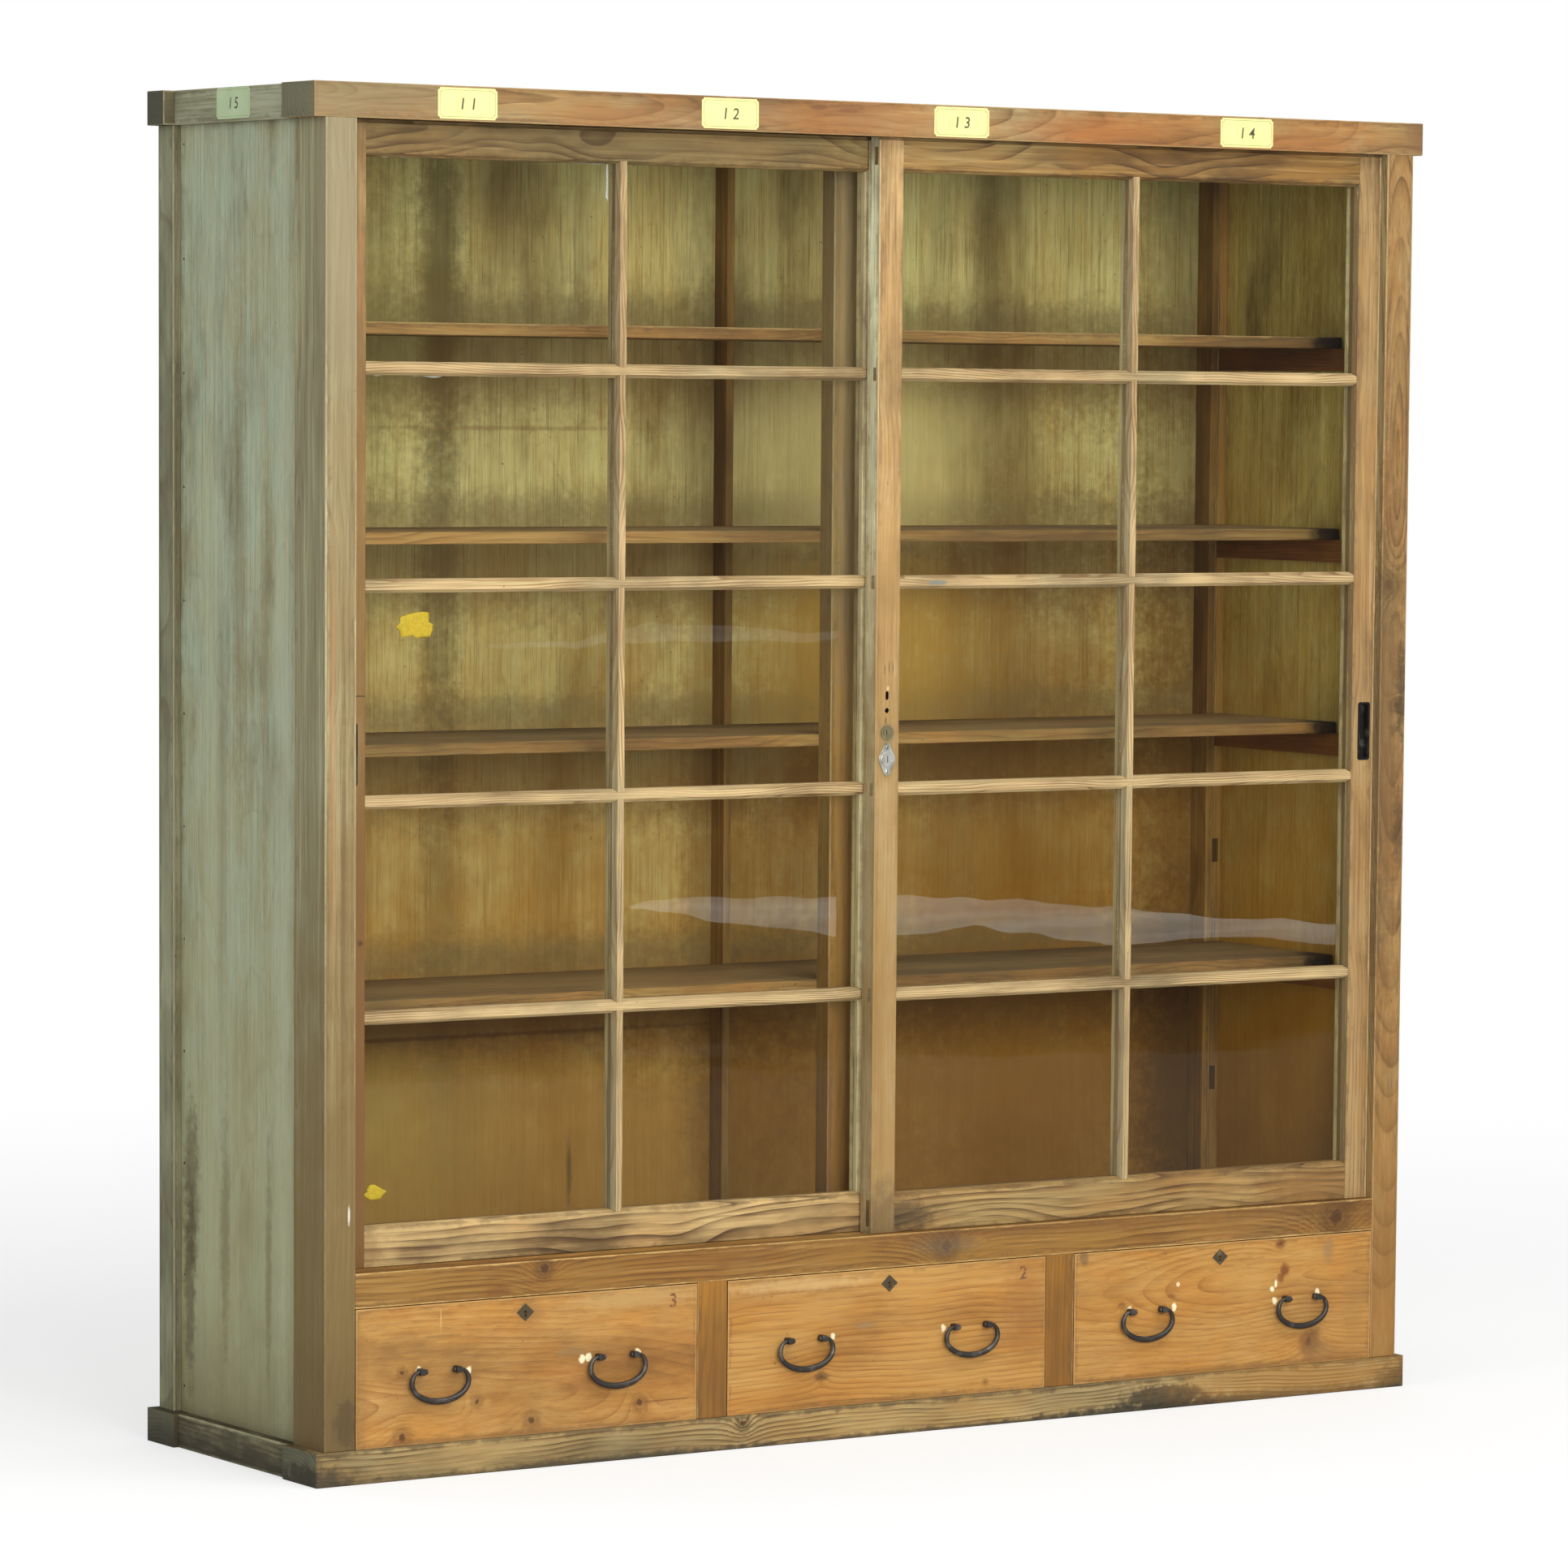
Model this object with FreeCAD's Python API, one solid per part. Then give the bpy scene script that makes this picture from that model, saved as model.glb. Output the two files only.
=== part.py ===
"""Softwood display cabinet: a glazed case with two sliding doors over a row of three drawers.

Lengths are millimetres. x runs to the right, y to the back and z up, as seen by someone who faces the doors.
The origin is the centre of the base frame's footprint, on the floor.
"""

import FreeCAD
import Part
import math
import os

Vector = FreeCAD.Vector

# Case
case_width = 1744.0
case_depth = 458.5
case_height = 1800.0
front_post_width = 45.0
front_post_depth = 84.0
back_post_width = 30.0
back_post_depth = 42.0
post_tenon_length = 20.0
post_tenon_thickness = 14.0
post_tenon_shoulder = 7.0

# Base frame, which stands a little proud of the posts
base_rail_height = 45.0
base_front_rail_depth = 92.0
base_back_rail_depth = 75.0
base_side_rail_width = 45.0
base_cross_rail_width = 45.0
base_front_proud = 3.0
base_back_proud = 8.5
base_side_proud = 7.0
base_end_overhang = 13.5

# Top frame, with rail ends that run past the side rails
top_rail_height = 45.0
top_front_rail_depth = 88.0
top_back_rail_depth = 46.0
top_side_rail_width = 40.0
top_cross_rail_width = 45.0
top_end_overhang = 16.5
top_panel_thickness = 4.0
top_panel_rebate = 10.0

# Rail tenons, which enter the long rails and the posts from the side
rail_tenon_length = 25.0
rail_tenon_thickness = 15.0
rail_tenon_shoulder = 9.0

# Plywood sides and back
side_panel_thickness = 4.0
side_panel_recess = 11.5
side_panel_groove = 8.0
back_panel_thickness = 3.5
back_panel_rebate = 12.0
nailing_batten_width = 13.0
nailing_batten_depth = 37.0
centre_batten_width = 12.0
centre_batten_depth = 33.0

# Empty mortises in the right back post, where a middle rail once went
old_mortise_width = 9.5
old_mortise_height = 34.0
old_mortise_depth = 22.0
upper_mortise_height = 747.0
lower_mortise_height = 410.0

# Inside of the case
track_rail_height = 45.7
track_tenon_depth = 50.0
case_floor_drop = 4.7
case_floor_thickness = 12.0
centre_post_width = 70.0
centre_post_depth = 30.0
centre_post_gap = 32.0
centre_post_tenon = 15.0
centre_post_tenon_thickness = 15.0
shelf_thickness = 16.0
shelf_end_gap = 5.0
shelf_back_gap = 1.5
bearer_thickness = 15.0
bearer_height = 32.0

# Height of each shelf's top above the case floor
lowest_shelf_height = 343.0
low_shelf_height = 679.0
high_shelf_height = 956.0
highest_shelf_height = 1229.0

# Sliding doors, right one in front
door_thickness = 27.0
door_setback = 15.0
door_gap = 4.0
door_side_play = 0.5
door_foot_play = 0.5
door_head_gap = 4.0
tongue_width = 17.0
tongue_side_play = 1.0
head_tongue_height = 12.0
head_groove_depth = 15.0
foot_groove_depth = 3.0
foot_tongue_play = 0.3

# Sash bars
stile_width = 42.0
top_sash_rail = 42.0
bottom_sash_rail = 53.8
muntin_width = 18.0
bevel_width = 4.0
bevel_depth = 7.0
moulding_depth = 15.0
glazing_rebate = 6.0
sash_tenon_thickness = 8.0
sash_tenon_offset = 4.5
sash_tenon_shoulder = 9.0
muntin_stub_length = 16.0
pane_rows = 5
glass_thickness = 3.0
glass_edge_play = 1.0
bead_depth = 7.0

# Recessed finger pulls
pull_width = 21.0
pull_height = 82.0
pull_corner = 4.0
pull_flange = 2.0
pull_flange_thickness = 0.8
pull_cup_depth = 11.0
pull_cup_wall = 1.0
pull_edge_distance = 16.5
pull_above_muntin = 63.0

# Lock on the front door's meeting stile, with the holes of older ones above it
lock_edge_distance = 19.0
lock_above_muntin = 41.0
lock_plate_thickness = 1.5
lock_disc_radius = 13.0
lock_ear_radius = 5.7
lock_ear_distance = 16.5
lock_neck_angle = 40.0
lock_collar_radius = 9.8
lock_collar_height = 1.2
lock_body_width = 18.0
lock_body_back_gap = 3.0
lock_plug_radius = 7.0
lock_plug_play = 0.05
keyway_width = 1.6
keyway_height = 9.0
keyway_depth = 14.0
old_lock_rise = 35.8
old_lock_radius = 10.0
old_lock_thickness = 1.4
old_lock_body_width = 15.0
old_lock_plug_radius = 4.5
old_lock_plug_offset = 2.2
old_lock_plug_proud = 2.8
old_keyway_height = 6.0
round_hole_rise = 65.8
round_hole_radius = 3.5
oblong_hole_rise = 86.0
oblong_hole_height = 12.0
oblong_hole_width = 5.0
old_hole_depth = 18.0

# Drawers
drawer_count = 3
drawer_opening_height = 184.0
divider_width = 47.0
divider_tenon_depth = 40.0
drawer_side_play = 1.0
drawer_top_play = 1.2
drawer_foot_play = 0.3
drawer_back_gap = 55.0
drawer_front_thickness = 20.0
drawer_lap = 12.0
drawer_side_thickness = 12.0
drawer_side_height = 150.0
drawer_back_inset = 10.0
drawer_bottom_thickness = 4.0
drawer_bottom_rise = 9.0
drawer_bottom_groove = 6.0
runner_thickness = 20.0
runner_ledge = 34.0
runner_housing = 12.0
guide_height = 40.0

# Drawer locks
escutcheon_width = 26.0
escutcheon_height = 23.0
escutcheon_thickness = 1.0
escutcheon_below_top = 20.0
left_keyhole_offset = -6.0
centre_keyhole_offset = 0.0
right_keyhole_offset = -9.0
keyhole_radius = 2.4
keyhole_slot_width = 2.0
keyhole_slot_height = 6.5
lock_case_width = 46.0
lock_case_height = 34.0
lock_case_thickness = 10.0
lock_case_top_gap = 5.0

# Forged iron bails, bent like a young bracken frond, that hang from cross-bored posts
bail_pair_distance = 270.0
bail_pair_shift = 3.0
bail_axis_height = 96.0
bail_standoff = 8.0
bail_half_width = 42.3
bail_drop = 40.0
bail_shoulder_drop = 15.0
bail_middle_radius = 4.0
bail_arm_radius = 2.9
bail_end_radius = 2.25
bail_end_play = 0.05
bail_post_width = 8.4
bail_post_corner = 1.6
bail_post_nose = 4.0
bail_post_distance = 27.0
bail_shank_width = 4.4
bail_washer_width = 11.0
bail_washer_thickness = 2.0
bail_shank_spare = 1.5
bail_low_turns = 5
bail_high_turns = 4
bail_flats = 8
bail_bore_flats = 12

# Levels and planes that follow from the sizes above
half_case = case_width / 2
base_depth = case_depth + base_front_proud + base_back_proud
base_front = -base_depth / 2
base_back = base_depth / 2
case_front = base_front + base_front_proud
case_back = base_back - base_back_proud
base_top = base_rail_height
top_bottom = case_height - top_rail_height
jamb = half_case - front_post_width
front_post_back = case_front + front_post_depth
back_post_front = case_back - back_post_depth
back_panel_front = case_back - back_panel_thickness
track_bottom = base_top + drawer_opening_height
track_top = track_bottom + track_rail_height
case_floor_top = track_top - case_floor_drop
side_panel_outside = half_case - side_panel_recess
side_panel_inside = side_panel_outside - side_panel_thickness
front_door_front = case_front + door_setback
rear_door_front = front_door_front + door_thickness + door_gap
centre_post_front = rear_door_front + door_thickness + centre_post_gap
centre_post_back = centre_post_front + centre_post_depth
top_front_rail_back = case_front + top_front_rail_depth
top_back_rail_front = case_back - top_back_rail_depth
shelf_heights = (
    lowest_shelf_height,
    low_shelf_height,
    high_shelf_height,
    highest_shelf_height,
)

# The doors' own sizes; each door is drawn from its lower left front corner
door_bottom = track_top + door_foot_play
door_height = top_bottom - door_head_gap - door_bottom
door_width = (2 * jamb + stile_width) / 2 - door_side_play
pane_height = (door_height - top_sash_rail - bottom_sash_rail - (pane_rows - 1) * muntin_width) / pane_rows
pane_width = (door_width - 2 * stile_width - muntin_width) / 2
muntin_face = muntin_width / 2 - bevel_width
muntin_web = muntin_width / 2 - glazing_rebate
stile_flat = stile_width - bevel_width
muntin_heights = [
    bottom_sash_rail + number * (pane_height + muntin_width) - muntin_width / 2 for number in range(1, pane_rows)
]
lock_height = muntin_heights[1] + lock_above_muntin
pull_centre_height = muntin_heights[1] + pull_above_muntin
tongue_front = (door_thickness - tongue_width) / 2

# The drawers' own sizes
drawer_opening_width = (2 * jamb - (drawer_count - 1) * divider_width) / drawer_count
drawer_pitch = drawer_opening_width + divider_width
drawer_half_width = drawer_opening_width / 2 - drawer_side_play
drawer_bottom = base_top + drawer_foot_play
drawer_top = track_bottom - drawer_top_play
drawer_front_back = case_front + drawer_front_thickness
drawer_back = back_panel_front - drawer_back_gap
drawer_centres = [drawer_pitch * (number - (drawer_count - 1) / 2) for number in range(drawer_count)]
bail_axis_z = base_top + bail_axis_height
bail_axis_y = case_front - bail_standoff

SIDES = (-1, 1)


def box(x_from, x_to, y_from, y_to, z_from, z_to):
    """Block between two values on each axis."""
    corner = Vector(min(x_from, x_to), min(y_from, y_to), min(z_from, z_to))
    return Part.makeBox(abs(x_to - x_from), abs(y_to - y_from), abs(z_to - z_from), corner)


def prism(points, sweep):
    """Straight prism on a closed outline."""
    outline = Part.makePolygon([Vector(*point) for point in points] + [Vector(*points[0])])
    return Part.Face(outline).extrude(Vector(*sweep))


def joined(first, *others):
    """One solid out of pieces that touch or overlap."""
    return first.fuse(list(others)).removeSplitter()


def cut_by(host, *tools):
    """Host with room made for each tool."""
    for tool in tools:
        host = host.cut(tool)
    return host


def y_cylinder(x, z, radius, y_from, y_to):
    """Cylinder that runs from front to back."""
    return Part.makeCylinder(radius, y_to - y_from, Vector(x, y_from, z), Vector(0, 1, 0))


def write(node, *solids):
    """One file per named piece, with each of its solids apart."""
    shape = Part.makeCompound([solid for item in solids for solid in item.Solids])
    shape.exportStep(os.path.join("parts", node + ".step"))


# Carcass


def post(x_from, x_to, y_from, y_to):
    """Upright between the base and top frames, with a stub tenon at each end."""
    body = box(x_from, x_to, y_from, y_to, base_top, top_bottom)
    y_middle = (y_from + y_to) / 2
    half = post_tenon_thickness / 2
    tenon = box(
        x_from + post_tenon_shoulder,
        x_to - post_tenon_shoulder,
        y_middle - half,
        y_middle + half,
        base_top - post_tenon_length,
        top_bottom + post_tenon_length,
    )
    return joined(body, tenon)


def mirrored(shape):
    """The same piece on the other side of the cabinet."""
    return shape.mirror(Vector(0, 0, 0), Vector(1, 0, 0))


def cross_member(x_from, x_to, y_from, y_to, z_from, z_to):
    """Rail from front to back, tenoned into the long rails at both ends."""
    body = box(x_from, x_to, y_from, y_to, z_from, z_to)
    z_middle = (z_from + z_to) / 2
    tenon = box(
        x_from + rail_tenon_shoulder,
        x_to - rail_tenon_shoulder,
        y_from - rail_tenon_length,
        y_to + rail_tenon_length,
        z_middle - rail_tenon_thickness / 2,
        z_middle + rail_tenon_thickness / 2,
    )
    return joined(body, tenon)


def side_panel():
    """Right-hand plywood side, with its edges in the grooves of posts and rails."""
    return box(
        side_panel_inside,
        side_panel_outside,
        front_post_back - side_panel_groove,
        back_post_front + side_panel_groove,
        base_top - side_panel_groove,
        top_bottom + side_panel_groove,
    )


def back_panels():
    """Two plywood sheets that meet on the centre batten and rise behind the top rail."""
    edge = half_case - back_post_width
    top = top_bottom + back_panel_rebate
    return [
        box(0, side * edge, back_panel_front, case_back, base_top, top)
        for side in SIDES
    ]


def back_battens():
    """Nailing battens beside the back posts and behind the joint of the sheets."""
    edge = half_case - back_post_width
    beside = box(
        edge - nailing_batten_width,
        edge,
        back_panel_front - nailing_batten_depth,
        back_panel_front,
        base_top,
        top_bottom,
    )
    centre = box(
        -centre_batten_width / 2,
        centre_batten_width / 2,
        back_panel_front - centre_batten_depth,
        back_panel_front,
        base_top,
        top_bottom,
    )
    return [beside, mirrored(beside), centre]


def top_panel():
    """Plywood sheet let into the top of the frame."""
    return box(
        -half_case + top_side_rail_width - top_panel_rebate,
        half_case - top_side_rail_width + top_panel_rebate,
        top_front_rail_back - top_panel_rebate,
        top_back_rail_front + top_panel_rebate,
        case_height - top_panel_thickness,
        case_height,
    )


def door_grooves(door_front, floor, mouth):
    """Room for one door's tongue in a rail that runs from jamb to jamb."""
    half = tongue_width / 2 + tongue_side_play
    middle = door_front + door_thickness / 2
    return box(-jamb, jamb, middle - half, middle + half, floor, mouth)


def track_rail():
    """Sill over the drawers, with a shallow groove for each door's foot."""
    body = box(-jamb, jamb, case_front, front_post_back, track_bottom, track_top)
    z_middle = (track_bottom + track_top) / 2
    y_middle = (case_front + front_post_back) / 2
    tenon = box(
        -jamb - rail_tenon_length,
        jamb + rail_tenon_length,
        y_middle - track_tenon_depth / 2,
        y_middle + track_tenon_depth / 2,
        z_middle - rail_tenon_thickness / 2,
        z_middle + rail_tenon_thickness / 2,
    )
    floor = track_top - foot_groove_depth
    return cut_by(
        joined(body, tenon),
        door_grooves(front_door_front, floor, track_top),
        door_grooves(rear_door_front, floor, track_top),
    )


def drawer_dividers():
    """Short posts between the drawers, tenoned into the base rail and the track rail."""
    dividers = []
    for gap in range(drawer_count - 1):
        x_middle = drawer_pitch * (gap - (drawer_count - 2) / 2)
        x_from = x_middle - divider_width / 2
        x_to = x_middle + divider_width / 2
        body = box(x_from, x_to, case_front, front_post_back, base_top, track_bottom)
        y_middle = (case_front + front_post_back) / 2
        tenon = box(
            x_middle - post_tenon_thickness / 2,
            x_middle + post_tenon_thickness / 2,
            y_middle - divider_tenon_depth / 2,
            y_middle + divider_tenon_depth / 2,
            base_top - post_tenon_length,
            track_bottom + post_tenon_length,
        )
        dividers.append(joined(body, tenon))
    return dividers


def drawer_runners():
    """Ledges under the drawers' sides and the guides that keep the drawers square."""
    y_from = base_front + base_front_rail_depth - runner_housing
    y_to = base_back - base_back_rail_depth + runner_housing
    ends = []
    base_rail_inside = half_case + base_side_proud - base_side_rail_width
    for side in SIDES:
        ledge = box(
            side * (jamb - runner_ledge),
            side * base_rail_inside,
            y_from,
            y_to,
            base_top - runner_thickness,
            base_top,
        )
        guide = box(
            side * jamb,
            side * side_panel_inside,
            front_post_back,
            back_post_front,
            base_top,
            base_top + guide_height,
        )
        ends += [ledge, guide]
    middles = []
    for gap in range(drawer_count - 1):
        x_middle = drawer_pitch * (gap - (drawer_count - 2) / 2)
        half = divider_width / 2
        ledge = box(
            x_middle - half - runner_ledge,
            x_middle + half + runner_ledge,
            y_from,
            y_to,
            base_top - runner_thickness,
            base_top,
        )
        guide = box(
            x_middle - half,
            x_middle + half,
            front_post_back,
            base_back - base_back_rail_depth,
            base_top,
            base_top + guide_height,
        )
        middles += [ledge, guide]
    return ends + middles


def centre_post():
    """Flat upright behind the doors that stiffens the shelves' front edges."""
    half = centre_post_width / 2
    body = box(-half, half, centre_post_front, centre_post_back, case_floor_top, top_bottom)
    y_middle = (centre_post_front + centre_post_back) / 2
    tenon = box(
        -top_cross_rail_width / 2 + rail_tenon_shoulder,
        top_cross_rail_width / 2 - rail_tenon_shoulder,
        y_middle - centre_post_tenon_thickness / 2,
        y_middle + centre_post_tenon_thickness / 2,
        top_bottom,
        top_bottom + centre_post_tenon,
    )
    return joined(body, tenon)


def shelf_bearers():
    """Strips along the side panels, under the shelves and under the case floor."""
    undersides = [case_floor_top - case_floor_thickness]
    undersides += [case_floor_top + height - shelf_thickness for height in shelf_heights]
    return [
        box(
            side * (side_panel_inside - bearer_thickness),
            side * side_panel_inside,
            front_post_back,
            back_post_front,
            underside - bearer_height,
            underside,
        )
        for underside in undersides
        for side in SIDES
    ]


def shelves():
    """Loose boards on the bearers, nailed to the back of the centre post."""
    half = side_panel_inside - shelf_end_gap
    return [
        box(
            -half,
            half,
            centre_post_back,
            back_post_front - shelf_back_gap,
            case_floor_top + height - shelf_thickness,
            case_floor_top + height,
        )
        for height in shelf_heights
    ]


def make_carcass():
    """Frames, posts, panels and shelves."""
    half_base = half_case + base_end_overhang
    half_top = half_case + top_end_overhang

    front_post = post(jamb, half_case, case_front, front_post_back)
    back_post = post(half_case - back_post_width, half_case, back_post_front, case_back)
    panel = side_panel()
    backs = back_panels()
    battens = back_battens()
    divider_posts = drawer_dividers()
    runners = drawer_runners()
    upright = centre_post()
    sill = track_rail()
    sheet = top_panel()

    base_outside = half_case + base_side_proud
    base_side_rail = cross_member(
        base_outside - base_side_rail_width,
        base_outside,
        base_front + base_front_rail_depth,
        base_back - base_back_rail_depth,
        0,
        base_rail_height,
    )
    base_cross_rail = cross_member(
        -base_cross_rail_width / 2,
        base_cross_rail_width / 2,
        base_front + base_front_rail_depth,
        base_back - base_back_rail_depth,
        0,
        base_rail_height,
    )
    base_front_rail = box(
        -half_base, half_base, base_front, base_front + base_front_rail_depth, 0, base_rail_height
    )
    base_back_rail = box(
        -half_base, half_base, base_back - base_back_rail_depth, base_back, 0, base_rail_height
    )
    top_side_rail = cross_member(
        half_case - top_side_rail_width,
        half_case,
        top_front_rail_back,
        top_back_rail_front,
        top_bottom,
        case_height,
    )
    top_cross_rail = cross_member(
        -top_cross_rail_width / 2,
        top_cross_rail_width / 2,
        top_front_rail_back,
        top_back_rail_front,
        top_bottom,
        case_height - top_panel_thickness,
    )
    top_front_rail = box(
        -half_top, half_top, case_front, top_front_rail_back, top_bottom, case_height
    )
    top_back_rail = box(
        -half_top, half_top, top_back_rail_front, case_back, top_bottom, case_height
    )

    corner_posts = [front_post, mirrored(front_post), back_post, mirrored(back_post)]
    panels = [panel, mirrored(panel)]
    base_sides = [cut_by(rail, *corner_posts, *panels) for rail in (base_side_rail, mirrored(base_side_rail))]
    top_sides = [
        cut_by(rail, *corner_posts, *panels, sheet)
        for rail in (top_side_rail, mirrored(top_side_rail))
    ]
    top_cross_rail = cut_by(top_cross_rail, upright)

    write(
        "base_front_rail",
        cut_by(
            base_front_rail,
            *corner_posts,
            *divider_posts,
            *panels,
            *base_sides,
            base_cross_rail,
            *runners,
        ),
    )
    write(
        "base_back_rail",
        cut_by(base_back_rail, *corner_posts, *panels, *base_sides, base_cross_rail, *runners),
    )
    write("base_side_rails", *base_sides, base_cross_rail)
    write(
        "top_front_rail",
        cut_by(
            top_front_rail,
            *corner_posts,
            *panels,
            *top_sides,
            top_cross_rail,
            sheet,
            door_grooves(front_door_front, top_bottom, top_bottom + head_groove_depth),
            door_grooves(rear_door_front, top_bottom, top_bottom + head_groove_depth),
        ),
    )
    write(
        "top_back_rail",
        cut_by(top_back_rail, *corner_posts, *panels, *top_sides, top_cross_rail, sheet, *backs),
    )
    write("top_side_rails", *top_sides, top_cross_rail)
    write("top_panel", sheet)

    write("front_post_left", cut_by(mirrored(front_post), mirrored(panel), sill))
    write("front_post_right", cut_by(front_post, panel, sill))
    mortise_left = half_case - back_post_width
    mortises = [
        box(
            mortise_left,
            mortise_left + old_mortise_width,
            back_post_front,
            back_post_front + old_mortise_depth,
            height - old_mortise_height / 2,
            height + old_mortise_height / 2,
        )
        for height in (upper_mortise_height, lower_mortise_height)
    ]
    write("back_posts", cut_by(mirrored(back_post), mirrored(panel)), cut_by(back_post, panel, *mortises))
    write("side_panels", *panels)
    write("back_panels", *backs)
    write("back_battens", *battens)

    write("track_rail", cut_by(sill, *divider_posts))
    write("drawer_dividers", *divider_posts)
    write("drawer_runners", *runners)
    floor = box(
        -side_panel_inside,
        side_panel_inside,
        front_post_back,
        back_panel_front,
        case_floor_top - case_floor_thickness,
        case_floor_top,
    )
    write("case_floor", cut_by(floor, *corner_posts, *battens))
    write("centre_post", upright)
    write("shelf_bearers", *shelf_bearers())
    write("shelves", *shelves())


# Doors, each drawn with x from its left edge, y back from its face and z up from its foot


def sash_outline(width):
    """Section of a stile or rail as (distance from the outer edge, depth) pairs."""
    return [
        (0, 0),
        (width - bevel_width, 0),
        (width, bevel_depth),
        (width, moulding_depth),
        (width - glazing_rebate, moulding_depth),
        (width - glazing_rebate, door_thickness),
        (0, door_thickness),
    ]


def stile():
    """Left-hand stile with the tongues that run on over its ends."""
    points = [(across, depth, 0) for across, depth in sash_outline(stile_width)]
    body = prism(points, (0, 0, door_height))
    return joined(body, foot_tongue(0, stile_flat), head_tongue(0, stile_flat))


def foot_tongue(x_from, x_to):
    """Tongue under the door that runs just clear of the floor of its groove."""
    drop = foot_groove_depth + door_foot_play - foot_tongue_play
    return box(x_from, x_to, tongue_front, tongue_front + tongue_width, -drop, 0)


def head_tongue(x_from, x_to):
    """Taller tongue over the door, with room above it to lift the door out of its track."""
    top = door_height + head_tongue_height
    return box(x_from, x_to, tongue_front, tongue_front + tongue_width, door_height, top)


def sash_rail(height):
    """Bottom rail with its moulding mitred into the stiles' and a through tenon at each end."""
    points = [(0, depth, across) for across, depth in sash_outline(height)]
    bar = prism(points, (door_width, 0, 0))
    face = prism(
        [
            (stile_flat, 0, 0),
            (door_width - stile_flat, 0, 0),
            (door_width - stile_flat, 0, height - bevel_width),
            (door_width - stile_width, 0, height),
            (stile_width, 0, height),
            (stile_flat, 0, height - bevel_width),
        ],
        (0, moulding_depth, 0),
    )
    shoulder = stile_width - glazing_rebate
    rear = box(shoulder, door_width - shoulder, moulding_depth, door_thickness, 0, height)
    tenon_back = sash_tenon_offset + sash_tenon_thickness
    tenon_top = height - sash_tenon_shoulder
    tenons = [
        box(x_from, x_to, sash_tenon_offset, tenon_back, sash_tenon_shoulder, tenon_top)
        for x_from, x_to in ((0, stile_flat), (door_width - stile_flat, door_width))
    ]
    return joined(bar.common(face.fuse(rear)), *tenons)


def foot_rail():
    """Bottom rail with its length of the tongue."""
    return joined(sash_rail(bottom_sash_rail), foot_tongue(stile_flat, door_width - stile_flat))


def head_rail():
    """Top rail with its length of the tongue."""
    rail = sash_rail(top_sash_rail).mirror(Vector(0, 0, 0), Vector(0, 0, 1))
    rail.translate(Vector(0, 0, door_height))
    return joined(rail, head_tongue(stile_flat, door_width - stile_flat))


def muntin(sight_from, sight_to, tenon_length):
    """Glazing bar along x between two sight edges, moulded on both sides and tenoned at its ends."""
    half = muntin_width / 2
    outline = [
        (-half, bevel_depth),
        (-muntin_face, 0),
        (muntin_face, 0),
        (half, bevel_depth),
        (half, moulding_depth),
        (muntin_web, moulding_depth),
        (muntin_web, door_thickness),
        (-muntin_web, door_thickness),
        (-muntin_web, moulding_depth),
        (-half, moulding_depth),
    ]
    reach = max(bevel_width, glazing_rebate)
    points = [(sight_from - reach, depth, across) for across, depth in outline]
    bar = prism(points, (sight_to - sight_from + 2 * reach, 0, 0))
    face = prism(
        [
            (sight_from - bevel_width, 0, -muntin_face),
            (sight_from, 0, -half),
            (sight_to, 0, -half),
            (sight_to + bevel_width, 0, -muntin_face),
            (sight_to + bevel_width, 0, muntin_face),
            (sight_to, 0, half),
            (sight_from, 0, half),
            (sight_from - bevel_width, 0, muntin_face),
        ],
        (0, moulding_depth, 0),
    )
    rear = box(
        sight_from - glazing_rebate,
        sight_to + glazing_rebate,
        moulding_depth,
        door_thickness,
        -half,
        half,
    )
    tenon_back = sash_tenon_offset + sash_tenon_thickness
    tenons = [
        box(inner, inner + length, sash_tenon_offset, tenon_back, -half, half)
        for inner, length in (
            (sight_from - bevel_width, -tenon_length),
            (sight_to + bevel_width, tenon_length),
        )
    ]
    return joined(bar.common(face.fuse(rear)), *tenons)


def crossing_notch(x, z):
    """Front half of a crossing, taken out of the upright bar up to the mitres of its moulding."""
    half = muntin_width / 2
    return prism(
        [
            (x - half, 0, z + half),
            (x - muntin_face, 0, z + muntin_face),
            (x + muntin_face, 0, z + muntin_face),
            (x + half, 0, z + half),
            (x + half, 0, z - half),
            (x + muntin_face, 0, z - muntin_face),
            (x - muntin_face, 0, z - muntin_face),
            (x - half, 0, z - half),
        ],
        (0, door_thickness / 2, 0),
    )


def glazing_bars():
    """Upright bar and the horizontal ones half-lapped over it."""
    x_middle = door_width / 2
    upright = muntin(bottom_sash_rail, door_height - top_sash_rail, muntin_stub_length)
    upright.rotate(Vector(0, 0, 0), Vector(0, 1, 0), -90)
    upright.translate(Vector(x_middle, 0, 0))
    upright = cut_by(upright, *[crossing_notch(x_middle, z) for z in muntin_heights])
    horizontals = []
    for z in muntin_heights:
        bar = muntin(stile_width, door_width - stile_width, stile_flat)
        bar.translate(Vector(0, 0, z))
        horizontals.append(bar.cut(upright))
    return [upright] + horizontals


def pane_corners():
    """Lower left corner of each pane's sight opening."""
    return [
        (
            stile_width + column * (pane_width + muntin_width),
            bottom_sash_rail + row * (pane_height + muntin_width),
        )
        for row in range(pane_rows)
        for column in range(2)
    ]


def panes():
    """Sheets of glass that stand in the rebates behind the moulding."""
    edge = glazing_rebate - glass_edge_play
    back = moulding_depth + glass_thickness
    return [
        box(x - edge, x + pane_width + edge, moulding_depth, back, z - edge, z + pane_height + edge)
        for x, z in pane_corners()
    ]


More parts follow.
